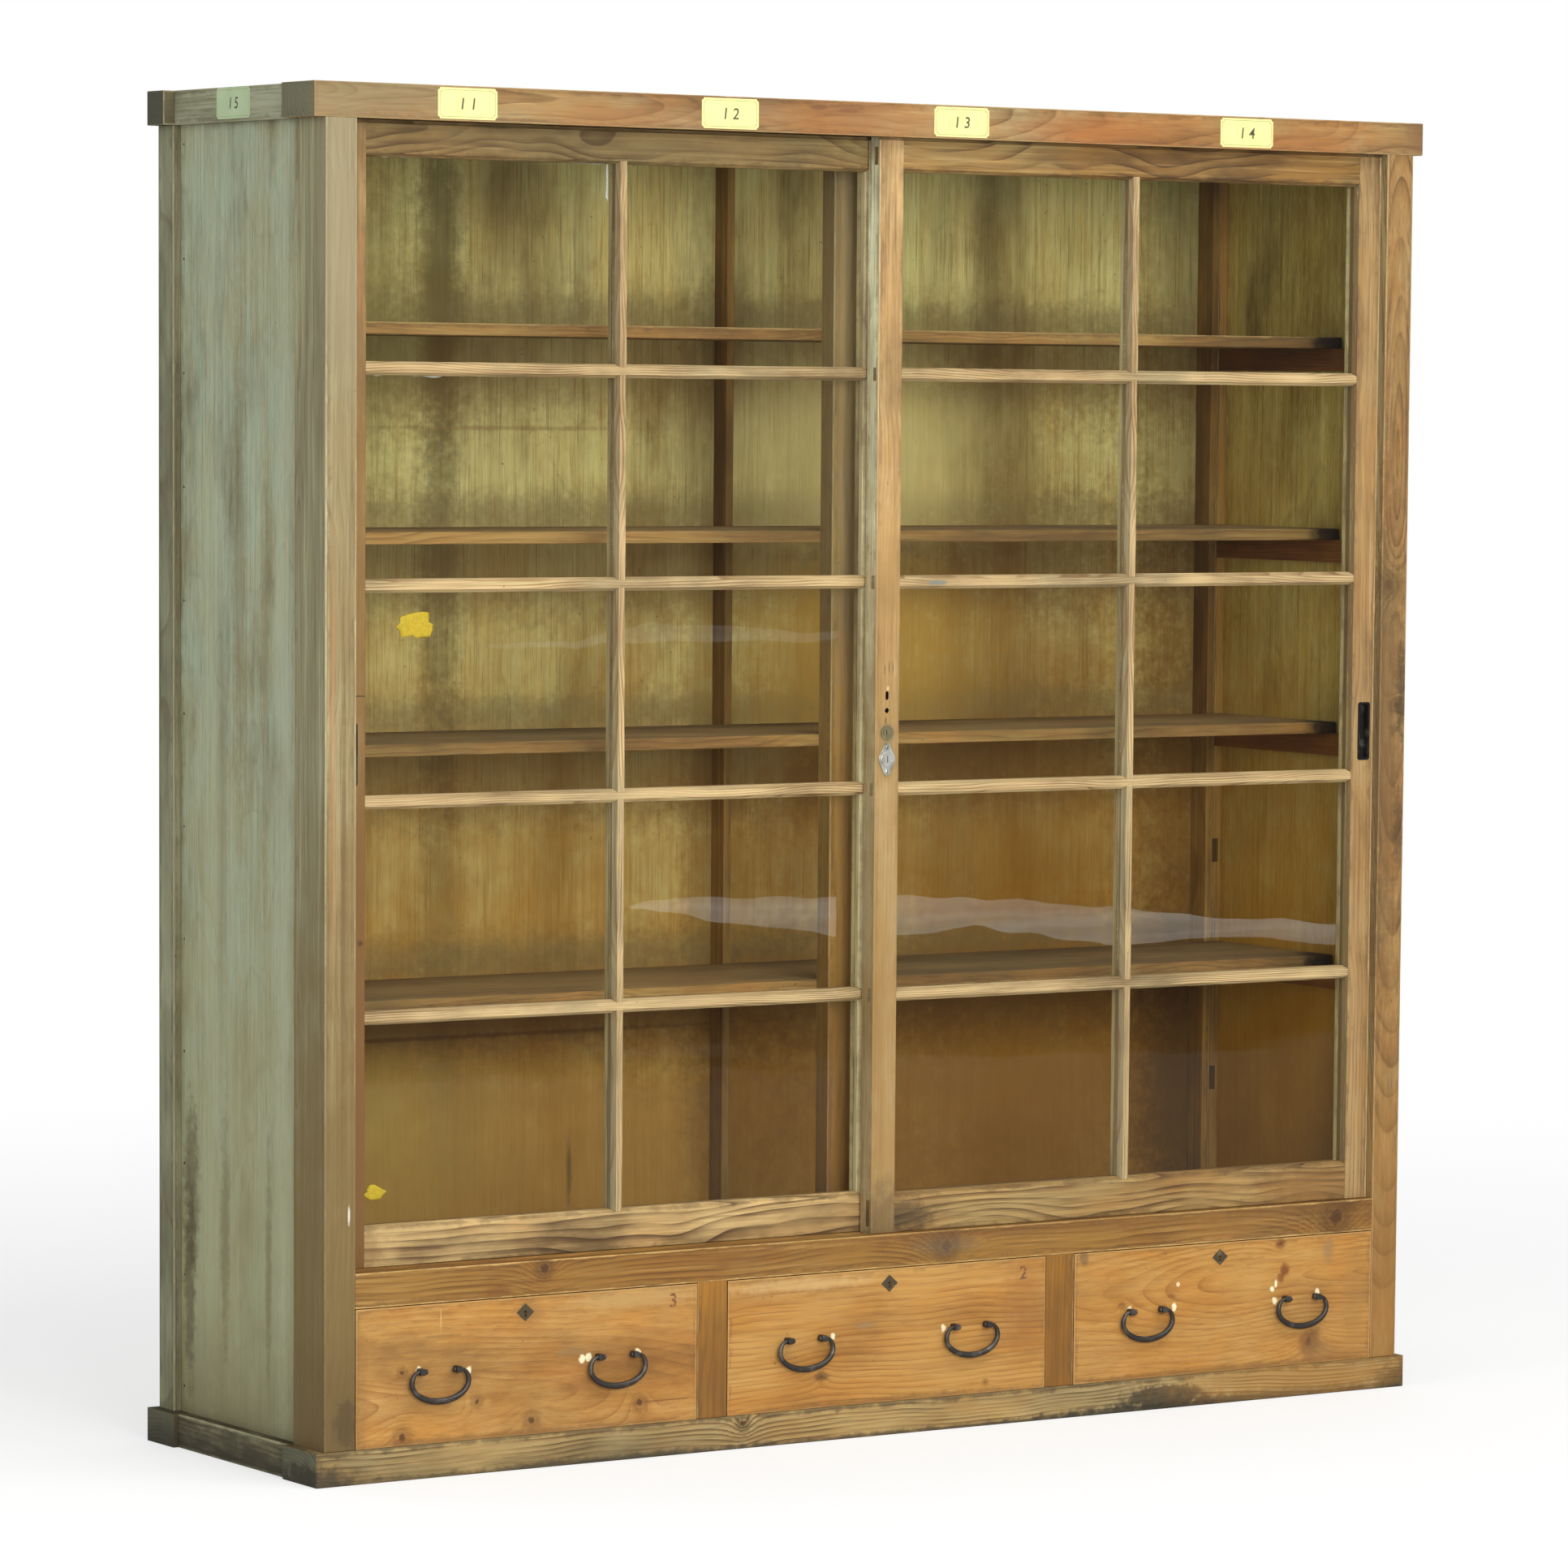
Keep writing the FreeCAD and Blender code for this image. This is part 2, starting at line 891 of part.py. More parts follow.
def beads():
    """Frames of bead that hold the panes from behind."""
    front = moulding_depth + glass_thickness
    back = front + bead_depth
    frames = []
    for x, z in pane_corners():
        outer = box(
            x - glazing_rebate,
            x + pane_width + glazing_rebate,
            front,
            back,
            z - glazing_rebate,
            z + pane_height + glazing_rebate,
        )
        inner = box(x, x + pane_width, front, back, z, z + pane_height)
        frames.append(outer.cut(inner))
    return frames


def rounded_plate(x, z, width, height, corner, y_from, y_to):
    """Upright plate with rounded corners."""
    plate = box(x - width / 2, x + width / 2, y_from, y_to, z - height / 2, z + height / 2)
    edges = [edge for edge in plate.Edges if abs(edge.tangentAt(edge.FirstParameter).y) > 0.9]
    return plate.makeFillet(corner, edges)


def finger_pull(x, z):
    """Pressed cup with a narrow flange, and the recess for it in a stile."""
    flange = rounded_plate(x, z, pull_width, pull_height, pull_corner, -pull_flange_thickness, 0)
    half_width = pull_width / 2 - pull_flange
    half_height = pull_height / 2 - pull_flange
    cup = box(x - half_width, x + half_width, 0, pull_cup_depth, z - half_height, z + half_height)
    hollow = rounded_plate(
        x,
        z,
        2 * (half_width - pull_cup_wall),
        2 * (half_height - pull_cup_wall),
        pull_corner - pull_flange,
        -pull_flange_thickness,
        pull_cup_depth - pull_cup_wall,
    )
    return joined(flange, cup).cut(hollow), cup


def keyway(x, z, height, y_from, depth):
    """Upright slot in a lock's plug."""
    half = keyway_width / 2
    return box(x - half, x + half, y_from, y_from + depth, z - height / 2, z + height / 2)


def lock_body(x, z, width):
    """Square body let into the stile."""
    half = width / 2
    return box(x - half, x + half, 0, door_thickness - lock_body_back_gap, z - half, z + half)


def door_lock():
    """Eared plate with its body, the turning plug, and the mortise that they need."""
    x = lock_edge_distance
    z = lock_height
    plate_front = -lock_plate_thickness
    collar_front = plate_front - lock_collar_height
    body_back = door_thickness - lock_body_back_gap
    disc = y_cylinder(x, z, lock_disc_radius, plate_front, 0)
    ears = [
        y_cylinder(x, z + side * lock_ear_distance, lock_ear_radius, plate_front, 0)
        for side in SIDES
    ]
    shoulder_x = lock_disc_radius * math.cos(math.radians(lock_neck_angle))
    shoulder_z = lock_disc_radius * math.sin(math.radians(lock_neck_angle))
    neck = prism(
        [
            (x - shoulder_x, plate_front, z - shoulder_z),
            (x - lock_ear_radius, plate_front, z - lock_ear_distance),
            (x + lock_ear_radius, plate_front, z - lock_ear_distance),
            (x + shoulder_x, plate_front, z - shoulder_z),
            (x + shoulder_x, plate_front, z + shoulder_z),
            (x + lock_ear_radius, plate_front, z + lock_ear_distance),
            (x - lock_ear_radius, plate_front, z + lock_ear_distance),
            (x - shoulder_x, plate_front, z + shoulder_z),
        ],
        (0, lock_plate_thickness, 0),
    )
    collar = y_cylinder(x, z, lock_collar_radius, collar_front, plate_front)
    body = lock_body(x, z, lock_body_width)
    bore = y_cylinder(x, z, lock_plug_radius + lock_plug_play, collar_front, body_back)
    plate = joined(disc, neck, *ears, collar, body).cut(bore)
    plug = y_cylinder(x, z, lock_plug_radius, collar_front, body_back)
    plug = plug.cut(keyway(x, z, keyway_height, collar_front, keyway_depth))
    return plate, plug, body


def old_lock():
    """Seized lock with a wide rose, and the mortise that it sits in."""
    x = lock_edge_distance
    z = lock_height + old_lock_rise
    rose = y_cylinder(x, z, old_lock_radius, -old_lock_thickness, 0)
    plug_x = x - old_lock_plug_offset
    plug = y_cylinder(plug_x, z, old_lock_plug_radius, -old_lock_plug_proud, 0)
    body = lock_body(x, z, old_lock_body_width)
    slot = keyway(plug_x, z, old_keyway_height, -old_lock_plug_proud, keyway_depth)
    return joined(rose, plug, body).cut(slot), body


def old_holes():
    """Round and oblong holes that other fittings left in the stile."""
    x = lock_edge_distance
    round_hole = y_cylinder(x, lock_height + round_hole_rise, round_hole_radius, 0, old_hole_depth)
    half = oblong_hole_width / 2
    reach = oblong_hole_height / 2 - half
    z = lock_height + oblong_hole_rise
    oblong = joined(
        box(x - half, x + half, 0, old_hole_depth, z - reach, z + reach),
        y_cylinder(x, z - reach, half, 0, old_hole_depth),
        y_cylinder(x, z + reach, half, 0, old_hole_depth),
    )
    return round_hole, oblong


def placed(shape, x, y, z):
    """Copy of a shape moved to its place in the cabinet."""
    copy = shape.copy()
    copy.translate(Vector(x, y, z))
    return copy


def make_door(name, x_left, y_front, pull_side):
    """One glazed sliding door; the side away from its pull is the meeting stile."""
    lower = foot_rail()
    upper = head_rail()
    bars = glazing_bars()
    left = cut_by(stile(), lower, upper, *bars[1:])
    right = stile().mirror(Vector(0, 0, 0), Vector(1, 0, 0))
    right.translate(Vector(door_width, 0, 0))
    right = cut_by(right, lower, upper, *bars[1:])
    lower = lower.cut(bars[0])
    upper = upper.cut(bars[0])
    if pull_side < 0:
        pull, recess = finger_pull(pull_edge_distance, pull_centre_height)
        left = left.cut(recess)
    else:
        pull, recess = finger_pull(door_width - pull_edge_distance, pull_centre_height)
        right = right.cut(recess)

    pieces = {
        "top_rail": [upper],
        "bottom_rail": [lower],
        "muntins": bars,
        "panes": panes(),
        "beads": beads(),
        "finger_pull": [pull],
    }
    if pull_side > 0:
        plate, plug, lock_hole = door_lock()
        cylinder, cylinder_hole = old_lock()
        left = cut_by(left, lock_hole, cylinder_hole, *old_holes())
        pieces["lock_plate"] = [plate]
        pieces["lock_plug"] = [plug]
        pieces["old_lock"] = [cylinder]
    pieces["left_stile"] = [left]
    pieces["right_stile"] = [right]
    for piece, solids in pieces.items():
        write(name + "_" + piece, *[placed(solid, x_left, y_front, door_bottom) for solid in solids])


# Drawers, each drawn about x = 0 and then moved to its opening


def drawer_sides():
    """Two sides, lapped into the front."""
    return [
        box(
            side * drawer_half_width,
            side * (drawer_half_width - drawer_side_thickness),
            drawer_front_back - drawer_lap,
            drawer_back,
            drawer_bottom,
            drawer_bottom + drawer_side_height,
        )
        for side in SIDES
    ]


def drawer_panel():
    """Plywood bottom, grooved into the front and sides and nailed up to the back."""
    half = drawer_half_width - drawer_side_thickness + drawer_bottom_groove
    z = drawer_bottom + drawer_bottom_rise
    return box(
        -half,
        half,
        drawer_front_back - drawer_bottom_groove,
        drawer_back,
        z,
        z + drawer_bottom_thickness,
    )


def keyhole(x, z, y_from, y_to):
    """Round hole with a slot below it."""
    slot = box(
        x - keyhole_slot_width / 2,
        x + keyhole_slot_width / 2,
        y_from,
        y_to,
        z - keyhole_slot_height,
        z,
    )
    return joined(y_cylinder(x, z, keyhole_radius, y_from, y_to), slot)


def drawer_lock(x):
    """Diamond escutcheon on the face, lock case behind the front, and the keyhole between them."""
    z = drawer_top - escutcheon_below_top
    face = case_front - escutcheon_thickness
    diamond = prism(
        [
            (x - escutcheon_width / 2, face, z),
            (x, face, z - escutcheon_height / 2),
            (x + escutcheon_width / 2, face, z),
            (x, face, z + escutcheon_height / 2),
        ],
        (0, escutcheon_thickness, 0),
    )
    case_back_face = drawer_front_back + lock_case_thickness
    lock_case = box(
        x - lock_case_width / 2,
        x + lock_case_width / 2,
        drawer_front_back,
        case_back_face,
        drawer_top - lock_case_top_gap - lock_case_height,
        drawer_top - lock_case_top_gap,
    )
    hole = keyhole(x, z, face, drawer_front_back)
    return [diamond.cut(hole), lock_case], hole


def bail_posts(x_middle):
    """Forged posts bored across for a bail's ends, with square shanks burred over washers."""
    posts = []
    nose = bail_axis_y - bail_post_nose
    washer_back = drawer_front_back + bail_washer_thickness
    for side in SIDES:
        x = x_middle + side * bail_post_distance
        reach = bail_post_width / 2
        flat = reach - bail_post_corner
        outline = [
            (x - flat, nose, bail_axis_z - reach),
            (x + flat, nose, bail_axis_z - reach),
            (x + reach, nose, bail_axis_z - flat),
            (x + reach, nose, bail_axis_z + flat),
            (x + flat, nose, bail_axis_z + reach),
            (x - flat, nose, bail_axis_z + reach),
            (x - reach, nose, bail_axis_z + flat),
            (x - reach, nose, bail_axis_z - flat),
        ]
        head = prism(outline, (0, case_front - nose, 0))
        shank = bail_shank(x, washer_back + bail_shank_spare)
        half = bail_washer_width / 2
        washer = box(
            x - half, x + half, drawer_front_back, washer_back, bail_axis_z - half, bail_axis_z + half
        )
        posts.append(joined(head, shank, washer).cut(bail_bore(x)))
    return posts


def bail_bore(x):
    """Hole drifted through a post for a bail's end, with flats clear of it all round."""
    radius = (bail_end_radius + bail_end_play) / math.cos(math.pi / bail_bore_flats)
    corners = []
    for number in range(bail_bore_flats):
        angle = 2 * math.pi * number / bail_bore_flats
        corners.append(
            (x - bail_post_width / 2, bail_axis_y + radius * math.cos(angle), bail_axis_z + radius * math.sin(angle))
        )
    return prism(corners, (bail_post_width, 0, 0))


def bail_shank(x, y_to):
    """Square shank from the drawer's face back to y_to."""
    half = bail_shank_width / 2
    return box(x - half, x + half, case_front, y_to, bail_axis_z - half, bail_axis_z + half)


def shank_holes(x_middle):
    """Room for the posts' shanks in the drawer front."""
    return [bail_shank(x_middle + side * bail_post_distance, drawer_front_back) for side in SIDES]


def bail_path():
    """Middle line of the right half of a bail as (x, drop, radius), from the bottom to its end."""
    path = []
    lower = bail_drop - bail_shoulder_drop
    for step in range(bail_low_turns):
        angle = math.radians(90 * step / bail_low_turns)
        taper = math.sin(angle) ** 2
        radius = bail_middle_radius + (bail_arm_radius - bail_middle_radius) * taper
        path.append((bail_half_width * math.sin(angle), -bail_shoulder_drop - lower * math.cos(angle), radius))
    mouth = bail_post_distance + bail_post_width / 2
    turn = bail_half_width - mouth
    for step in range(bail_high_turns + 1):
        angle = math.radians(90 * step / bail_high_turns)
        radius = bail_arm_radius + (bail_end_radius - bail_arm_radius) * math.sin(angle) ** 2
        path.append((mouth + turn * math.cos(angle), -bail_shoulder_drop * (1 - math.sin(angle)), radius))
    path.append((bail_post_distance - bail_post_width / 2, 0, bail_end_radius))
    return path


def section(point, along, radius):
    """Corners of the hammered outline across the rod at a point on it."""
    out = Vector(0, -1, 0)
    across = along.cross(out)
    corners = []
    for number in range(bail_flats):
        angle = 2 * math.pi * number / bail_flats
        corners.append(point + out * (radius * math.cos(angle)) + across * (radius * math.sin(angle)))
    return corners


def triangle(first, second, third):
    """Flat face on three corners."""
    return Part.Face(Part.makePolygon([first, second, third, first]))


def rod(rings):
    """Solid with flat facets between rings of corners."""
    facets = []
    for near, far in zip(rings, rings[1:]):
        for number in range(bail_flats):
            following = (number + 1) % bail_flats
            facets.append(triangle(near[number], near[following], far[following]))
            facets.append(triangle(near[number], far[following], far[number]))
    for ring in (rings[0], rings[-1]):
        facets.append(Part.Face(Part.makePolygon(ring + ring[:1])))
    solid = Part.Solid(Part.Shell(facets))
    if solid.Volume < 0:
        solid.reverse()
    return solid


def bail(x_middle):
    """Rod that is thickest at the bottom and thins out to the two ends that turn in the posts."""
    right = bail_path()
    left = [(-x, z, radius) for x, z, radius in reversed(right)]
    path = left[:-1] + right
    places = [Vector(x_middle + x, bail_axis_y, bail_axis_z + z) for x, z, radius in path]
    straight = Vector(1, 0, 0)
    slopes = [after - before for before, after in zip(places, places[2:])]
    for slope in slopes:
        slope.normalize()
    directions = [-straight, -straight] + slopes[1:-1] + [-straight, -straight]
    rings = [section(place, along, item[2]) for place, along, item in zip(places, directions, path)]
    return rod(rings)


def make_drawer(name, x_middle, keyhole_offset):
    """Drawer with its lock, posts and two bails."""
    pull_places = [side * bail_pair_distance / 2 - bail_pair_shift for side in SIDES]
    sides = drawer_sides()
    panel = drawer_panel()
    lock_pieces, hole = drawer_lock(keyhole_offset)
    front = box(
        -drawer_half_width,
        drawer_half_width,
        case_front,
        drawer_front_back,
        drawer_bottom,
        drawer_top,
    )
    holes = [item for x in pull_places for item in shank_holes(x)]
    back = box(
        -drawer_half_width + drawer_side_thickness,
        drawer_half_width - drawer_side_thickness,
        drawer_back - drawer_side_thickness,
        drawer_back,
        drawer_bottom + drawer_bottom_rise + drawer_bottom_thickness,
        drawer_bottom + drawer_side_height - drawer_back_inset,
    )
    posts = [item for x in pull_places for item in bail_posts(x)]
    pieces = {
        "front": [cut_by(front, *sides, panel, hole, *holes)],
        "box": [cut_by(side, panel) for side in sides] + [back],
        "bottom": [panel],
        "lock": lock_pieces,
        "bail_posts": posts,
        "left_bail": [bail(pull_places[0])],
        "right_bail": [bail(pull_places[1])],
    }
    for piece, solids in pieces.items():
        write(name + "_" + piece, *[placed(solid, x_middle, 0, 0) for solid in solids])


os.makedirs("parts", exist_ok=True)
make_carcass()
make_door("left_door", -jamb + door_side_play, rear_door_front, -1)
make_door("right_door", jamb - door_side_play - door_width, front_door_front, 1)
make_drawer("left_drawer", drawer_centres[0], left_keyhole_offset)
make_drawer("centre_drawer", drawer_centres[1], centre_keyhole_offset)
make_drawer("right_drawer", drawer_centres[2], right_keyhole_offset)
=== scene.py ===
"""Weathered softwood display cabinet: finishes and small fittings over its solid pieces."""
import math

import bmesh
import bpy
from mathutils import Matrix, Vector, noise


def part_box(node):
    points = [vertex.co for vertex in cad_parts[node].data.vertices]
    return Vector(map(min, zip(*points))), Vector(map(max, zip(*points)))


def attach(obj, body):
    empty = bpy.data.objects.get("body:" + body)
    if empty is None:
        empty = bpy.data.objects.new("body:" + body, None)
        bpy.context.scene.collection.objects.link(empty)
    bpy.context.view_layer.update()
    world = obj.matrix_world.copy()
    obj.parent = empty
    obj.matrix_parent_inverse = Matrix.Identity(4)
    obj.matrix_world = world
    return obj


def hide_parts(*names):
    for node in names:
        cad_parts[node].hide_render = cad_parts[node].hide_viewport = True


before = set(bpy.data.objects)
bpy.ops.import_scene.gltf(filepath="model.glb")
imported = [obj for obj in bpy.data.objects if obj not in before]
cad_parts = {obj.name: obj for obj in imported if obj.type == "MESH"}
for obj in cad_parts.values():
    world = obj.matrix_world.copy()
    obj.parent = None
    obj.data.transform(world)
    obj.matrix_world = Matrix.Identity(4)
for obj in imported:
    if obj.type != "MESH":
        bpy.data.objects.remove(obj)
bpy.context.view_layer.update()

WHITE = (1.0, 1.0, 1.0, 1.0)


def rgb(red, green, blue):
    """Scene colour of a display colour given in steps of 255."""
    steps = []
    for value in (red, green, blue):
        share = value / 255
        steps.append(share / 12.92 if share <= 0.04045 else ((share + 0.055) / 1.055) ** 2.4)
    return (*steps, 1.0)


def in_scene(name, data):
    """New object in the scene."""
    piece = bpy.data.objects.new(name, data)
    bpy.context.scene.collection.objects.link(piece)
    return piece


# Camera at the photograph's place

CAMERA_PLACE = (-5.0154, -7.7731, 1.4147)
CAMERA_YAW = 34.49
CAMERA_PITCH = 5.17
CAMERA_ROLL = -0.59
CAMERA_LENS = 154.1
CAMERA_SHIFT = (-0.133, 0.138)


def place_camera():
    """Camera turned by yaw, pitch and roll about its place."""
    yaw, pitch, roll = (math.radians(angle) for angle in (CAMERA_YAW, CAMERA_PITCH, CAMERA_ROLL))
    forward = Vector((math.sin(yaw) * math.cos(pitch), math.cos(yaw) * math.cos(pitch), -math.sin(pitch)))
    level = Vector((math.cos(yaw), -math.sin(yaw), 0))
    down = forward.cross(level)
    right = level * math.cos(roll) + down * math.sin(roll)
    lower = down * math.cos(roll) - level * math.sin(roll)
    data = bpy.data.cameras.new("camera")
    data.sensor_width = 36
    data.lens = CAMERA_LENS
    data.shift_x, data.shift_y = CAMERA_SHIFT
    data.clip_end = 100
    camera = in_scene("camera", data)
    turn = Matrix((right, -lower, -forward)).transposed().to_4x4()
    camera.matrix_world = Matrix.Translation(CAMERA_PLACE) @ turn
    bpy.context.scene.camera = camera


place_camera()


# Shader helpers


class Nodes:
    """Short way to place and join the nodes of one tree."""

    def __init__(self, tree):
        self.tree = tree

    def add(self, kind, inputs=None, **settings):
        node = self.tree.nodes.new(kind)
        for key, value in settings.items():
            setattr(node, key, value)
        for key, value in (inputs or {}).items():
            self.feed(node.inputs[key], value)
        return node

    def feed(self, socket, value):
        if isinstance(value, bpy.types.NodeSocket):
            self.tree.links.new(value, socket)
        elif value is not None:
            socket.default_value = value

    def math(self, operation, *values):
        return self.add("ShaderNodeMath", dict(enumerate(values)), operation=operation).outputs[0]

    def times(self, first, second):
        return self.math("MULTIPLY", first, second)

    def plus(self, first, second):
        return self.math("ADD", first, second)

    def less(self, first, second):
        return self.math("SUBTRACT", first, second)

    def over(self, first, second):
        return self.math("DIVIDE", first, second)

    def times_plus(self, first, second, third):
        return self.math("MULTIPLY_ADD", first, second, third)

    def vector(self, operation, first, second=None):
        node = self.add("ShaderNodeVectorMath", {0: first, 1: second}, operation=operation)
        return node.outputs["Value" if operation in ("LENGTH", "DOT_PRODUCT") else 0]

    def split(self, vector):
        return self.add("ShaderNodeSeparateXYZ", {0: vector}).outputs[:]

    def join(self, x, y, z):
        return self.add("ShaderNodeCombineXYZ", {0: x, 1: y, 2: z}).outputs[0]

    def noise(self, vector, scale, detail=2.0, roughness=0.5):
        inputs = {"Vector": vector, "Scale": scale, "Detail": detail, "Roughness": roughness}
        return self.add("ShaderNodeTexNoise", inputs).outputs[0]

    def swing(self, *settings):
        """Noise to both sides of nought."""
        return self.less(self.noise(*settings), 0.5)

    def ramp(self, value, low, high, to_low=0.0, to_high=1.0):
        ends = dict(enumerate((value, low, high, to_low, to_high)))
        return self.add("ShaderNodeMapRange", ends, interpolation_type="SMOOTHSTEP").outputs[0]

    def mix(self, amount, first, second):
        return self.add("ShaderNodeMix", {0: amount, 6: first, 7: second}, data_type="RGBA").outputs[2]

    def group(self, name, **inputs):
        node = self.add("ShaderNodeGroup", node_tree=GROUPS[name])
        for key, value in inputs.items():
            self.feed(node.inputs[key.replace("_", " ")], value)
        return node.outputs

    def place(self):
        return self.add("ShaderNodeTexCoord").outputs["Object"]

    def facing(self):
        return self.add("ShaderNodeNewGeometry").outputs["Normal"]

    def surface(self, shader, colour, roughness, height, strength, distance):
        """Colour, roughness and fine relief of a material."""
        self.feed(shader.inputs["Base Color"], colour)
        self.feed(shader.inputs["Roughness"], roughness)
        bump = self.add("ShaderNodeBump", {"Strength": strength, "Distance": distance, "Height": height})
        self.feed(shader.inputs["Normal"], bump.outputs[0])

    def blend(self, amount, first, second, output):
        """Two shaders mixed into an output."""
        both = self.add("ShaderNodeMixShader", {0: amount, 1: first.outputs[0], 2: second.outputs[0]})
        self.feed(output.inputs["Surface"], both.outputs[0])


def new_material(name):
    """Plain material with its helper and its shader."""
    material = bpy.data.materials.new(name)
    material.use_nodes = True
    return material, Nodes(material.node_tree), material.node_tree.nodes["Principled BSDF"]


def open_group(name, **sockets):
    """New node group and what it is given: a vector for None, a number or a colour."""
    tree = bpy.data.node_groups.new(name, "ShaderNodeTree")
    for key, first in sockets.items():
        kind = "Vector" if first is None else "Float" if isinstance(first, float) else "Color"
        socket = "NodeSocket" + kind
        item = tree.interface.new_socket(name=key.replace("_", " "), in_out="INPUT", socket_type=socket)
        if first is not None:
            item.default_value = first
    return Nodes(tree), tree.nodes.new("NodeGroupInput").outputs


def close_group(n, **values):
    """Group with its outputs made and fed."""
    for key in values:
        kind = "NodeSocketColor" if key == "Color" else "NodeSocketFloat"
        n.tree.interface.new_socket(name=key, in_out="OUTPUT", socket_type=kind)
    ends = n.tree.nodes.new("NodeGroupOutput").inputs
    for key, value in values.items():
        n.feed(ends[key], value)
    return n.tree


# Shared effects


def make_grain():
    """Growth rings round the z axis, drawn out along it, with fine fibres."""
    n, given = open_group("grain", Vector=None, Ring_width=0.006, Wander=0.01, Swell=0.0)
    x, y, z = n.split(given["Vector"])
    slow = n.join(n.times(x, 2.2), n.times(y, 2.2), n.times(z, 1.0))
    radius = n.vector("LENGTH", n.join(x, y, 0.0))
    radius = n.times_plus(n.swing(slow, 2.6), n.times(given["Wander"], 4.0), radius)
    radius = n.plus(radius, given["Swell"])
    uneven = n.swing(n.join(n.times(radius, 60.0), 0.0, 0.0), 1.0, 1.0)
    within = n.math("FRACT", n.times_plus(uneven, 1.6, n.over(radius, given["Ring width"])))
    fading = n.ramp(n.noise(slow, 7.0), 0.35, 0.65, 0.25, 1.0)
    late = n.times(n.ramp(within, 0.3, 0.9), n.ramp(within, 0.94, 1.0, 1.0, 0.0))
    line = n.times(n.ramp(within, 0.78, 0.92), n.ramp(within, 0.95, 1.0, 1.0, 0.0))
    drawn_out = []
    for across, along in ((430.0, 9.0), (150.0, 3.0), (640.0, 52.0)):
        drawn_out.append(n.join(n.times(x, across), n.times(y, across), n.times(z, along)))
    fibre, streak, pore = drawn_out
    return close_group(
        n,
        Late=n.times(late, fading),
        Line=n.times(line, fading),
        Fibre=n.noise(fibre, 1.0, 2.0, 0.6),
        Streak=n.noise(streak, 1.0, 3.0, 0.6),
        Pore=n.noise(pore, 1.0, 1.0),
    )


def make_arris():
    """Nearness to the edges of an upright box, broken up by noise."""
    n, given = open_group("arris", Vector=None, Low=None, High=None, Width=0.004, Break=0.6)
    near_low = n.vector("SUBTRACT", given["Vector"], given["Low"])
    near_high = n.vector("SUBTRACT", given["High"], given["Vector"])
    x, y, z = n.split(n.vector("ABSOLUTE", n.vector("MINIMUM", near_low, near_high)))
    smallest = n.math("MINIMUM", n.math("MINIMUM", x, y), z)
    largest = n.math("MAXIMUM", n.math("MAXIMUM", x, y), z)
    second = n.less(n.less(n.plus(n.plus(x, y), z), smallest), largest)
    rough = n.times(n.swing(given["Vector"], 38.0, 3.0, 0.6), given["Break"])
    second = n.times_plus(rough, n.times(given["Width"], 3.0), second)
    return close_group(n, Edge=n.ramp(second, 0.0, given["Width"], 1.0, 0.0))


def make_stain():
    """Uneven patches that lie along the grain."""
    n, given = open_group("stain", Vector=None, Size=0.2, Length=3.0, Amount=0.5)
    x, y, z = n.split(given["Vector"])
    scale = n.over(1.0, given["Size"])
    patch = n.join(n.times(x, scale), n.times(y, scale), n.over(n.times(z, scale), given["Length"]))
    edge = n.less(0.78, n.times(given["Amount"], 0.5))
    mask = n.ramp(n.noise(patch, 1.0, 5.0, 0.62), n.less(edge, 0.2), n.plus(edge, 0.12))
    return close_group(n, Mask=mask, Fine=n.noise(patch, 9.0, 3.0, 0.6))


def make_spot():
    """Soft-edged blot of a given size round a place, with a ragged outline."""
    n, given = open_group("spot", Vector=None, Centre=None, Size=None, Soft=0.3, Ragged=0.3, Scale=60.0)
    away = n.vector("SUBTRACT", given["Vector"], given["Centre"])
    far = n.vector("LENGTH", n.vector("DIVIDE", away, given["Size"]))
    rough = n.swing(given["Vector"], given["Scale"], 5.0, 0.72)
    far = n.times_plus(rough, n.times(given["Ragged"], 4.0), far)
    mask = n.ramp(far, n.less(1.0, given["Soft"]), n.plus(1.0, given["Soft"]), 1.0, 0.0)
    return close_group(n, Mask=mask)


def make_knot():
    """Knot in a board: the bulge it gives the rings, its dark heart and the ring of bark round it."""
    n, given = open_group("knot", Vector=None, Centre=None, Size=0.01)
    away = n.vector("LENGTH", n.vector("SUBTRACT", given["Vector"], given["Centre"]))
    far = n.times_plus(n.swing(given["Vector"], 210.0, 3.0, 0.7), 1.1, n.over(away, given["Size"]))
    swell = n.over(given["Size"], n.times_plus(n.math("POWER", far, 2.0), 0.12, 0.5))
    halo = n.times(n.ramp(far, 0.5, 0.8), n.ramp(far, 0.9, 2.0, 1.0, 0.0))
    return close_group(n, Swell=swell, Heart=n.ramp(far, 0.35, 0.75, 1.0, 0.0), Halo=halo)


COLOUR_NAMES = (
    "Early", "Tint colour", "Late colour", "Stain colour", "Edge colour", "End colour", "Side colour",
)
DUST_COLOUR = rgb(150, 140, 112)


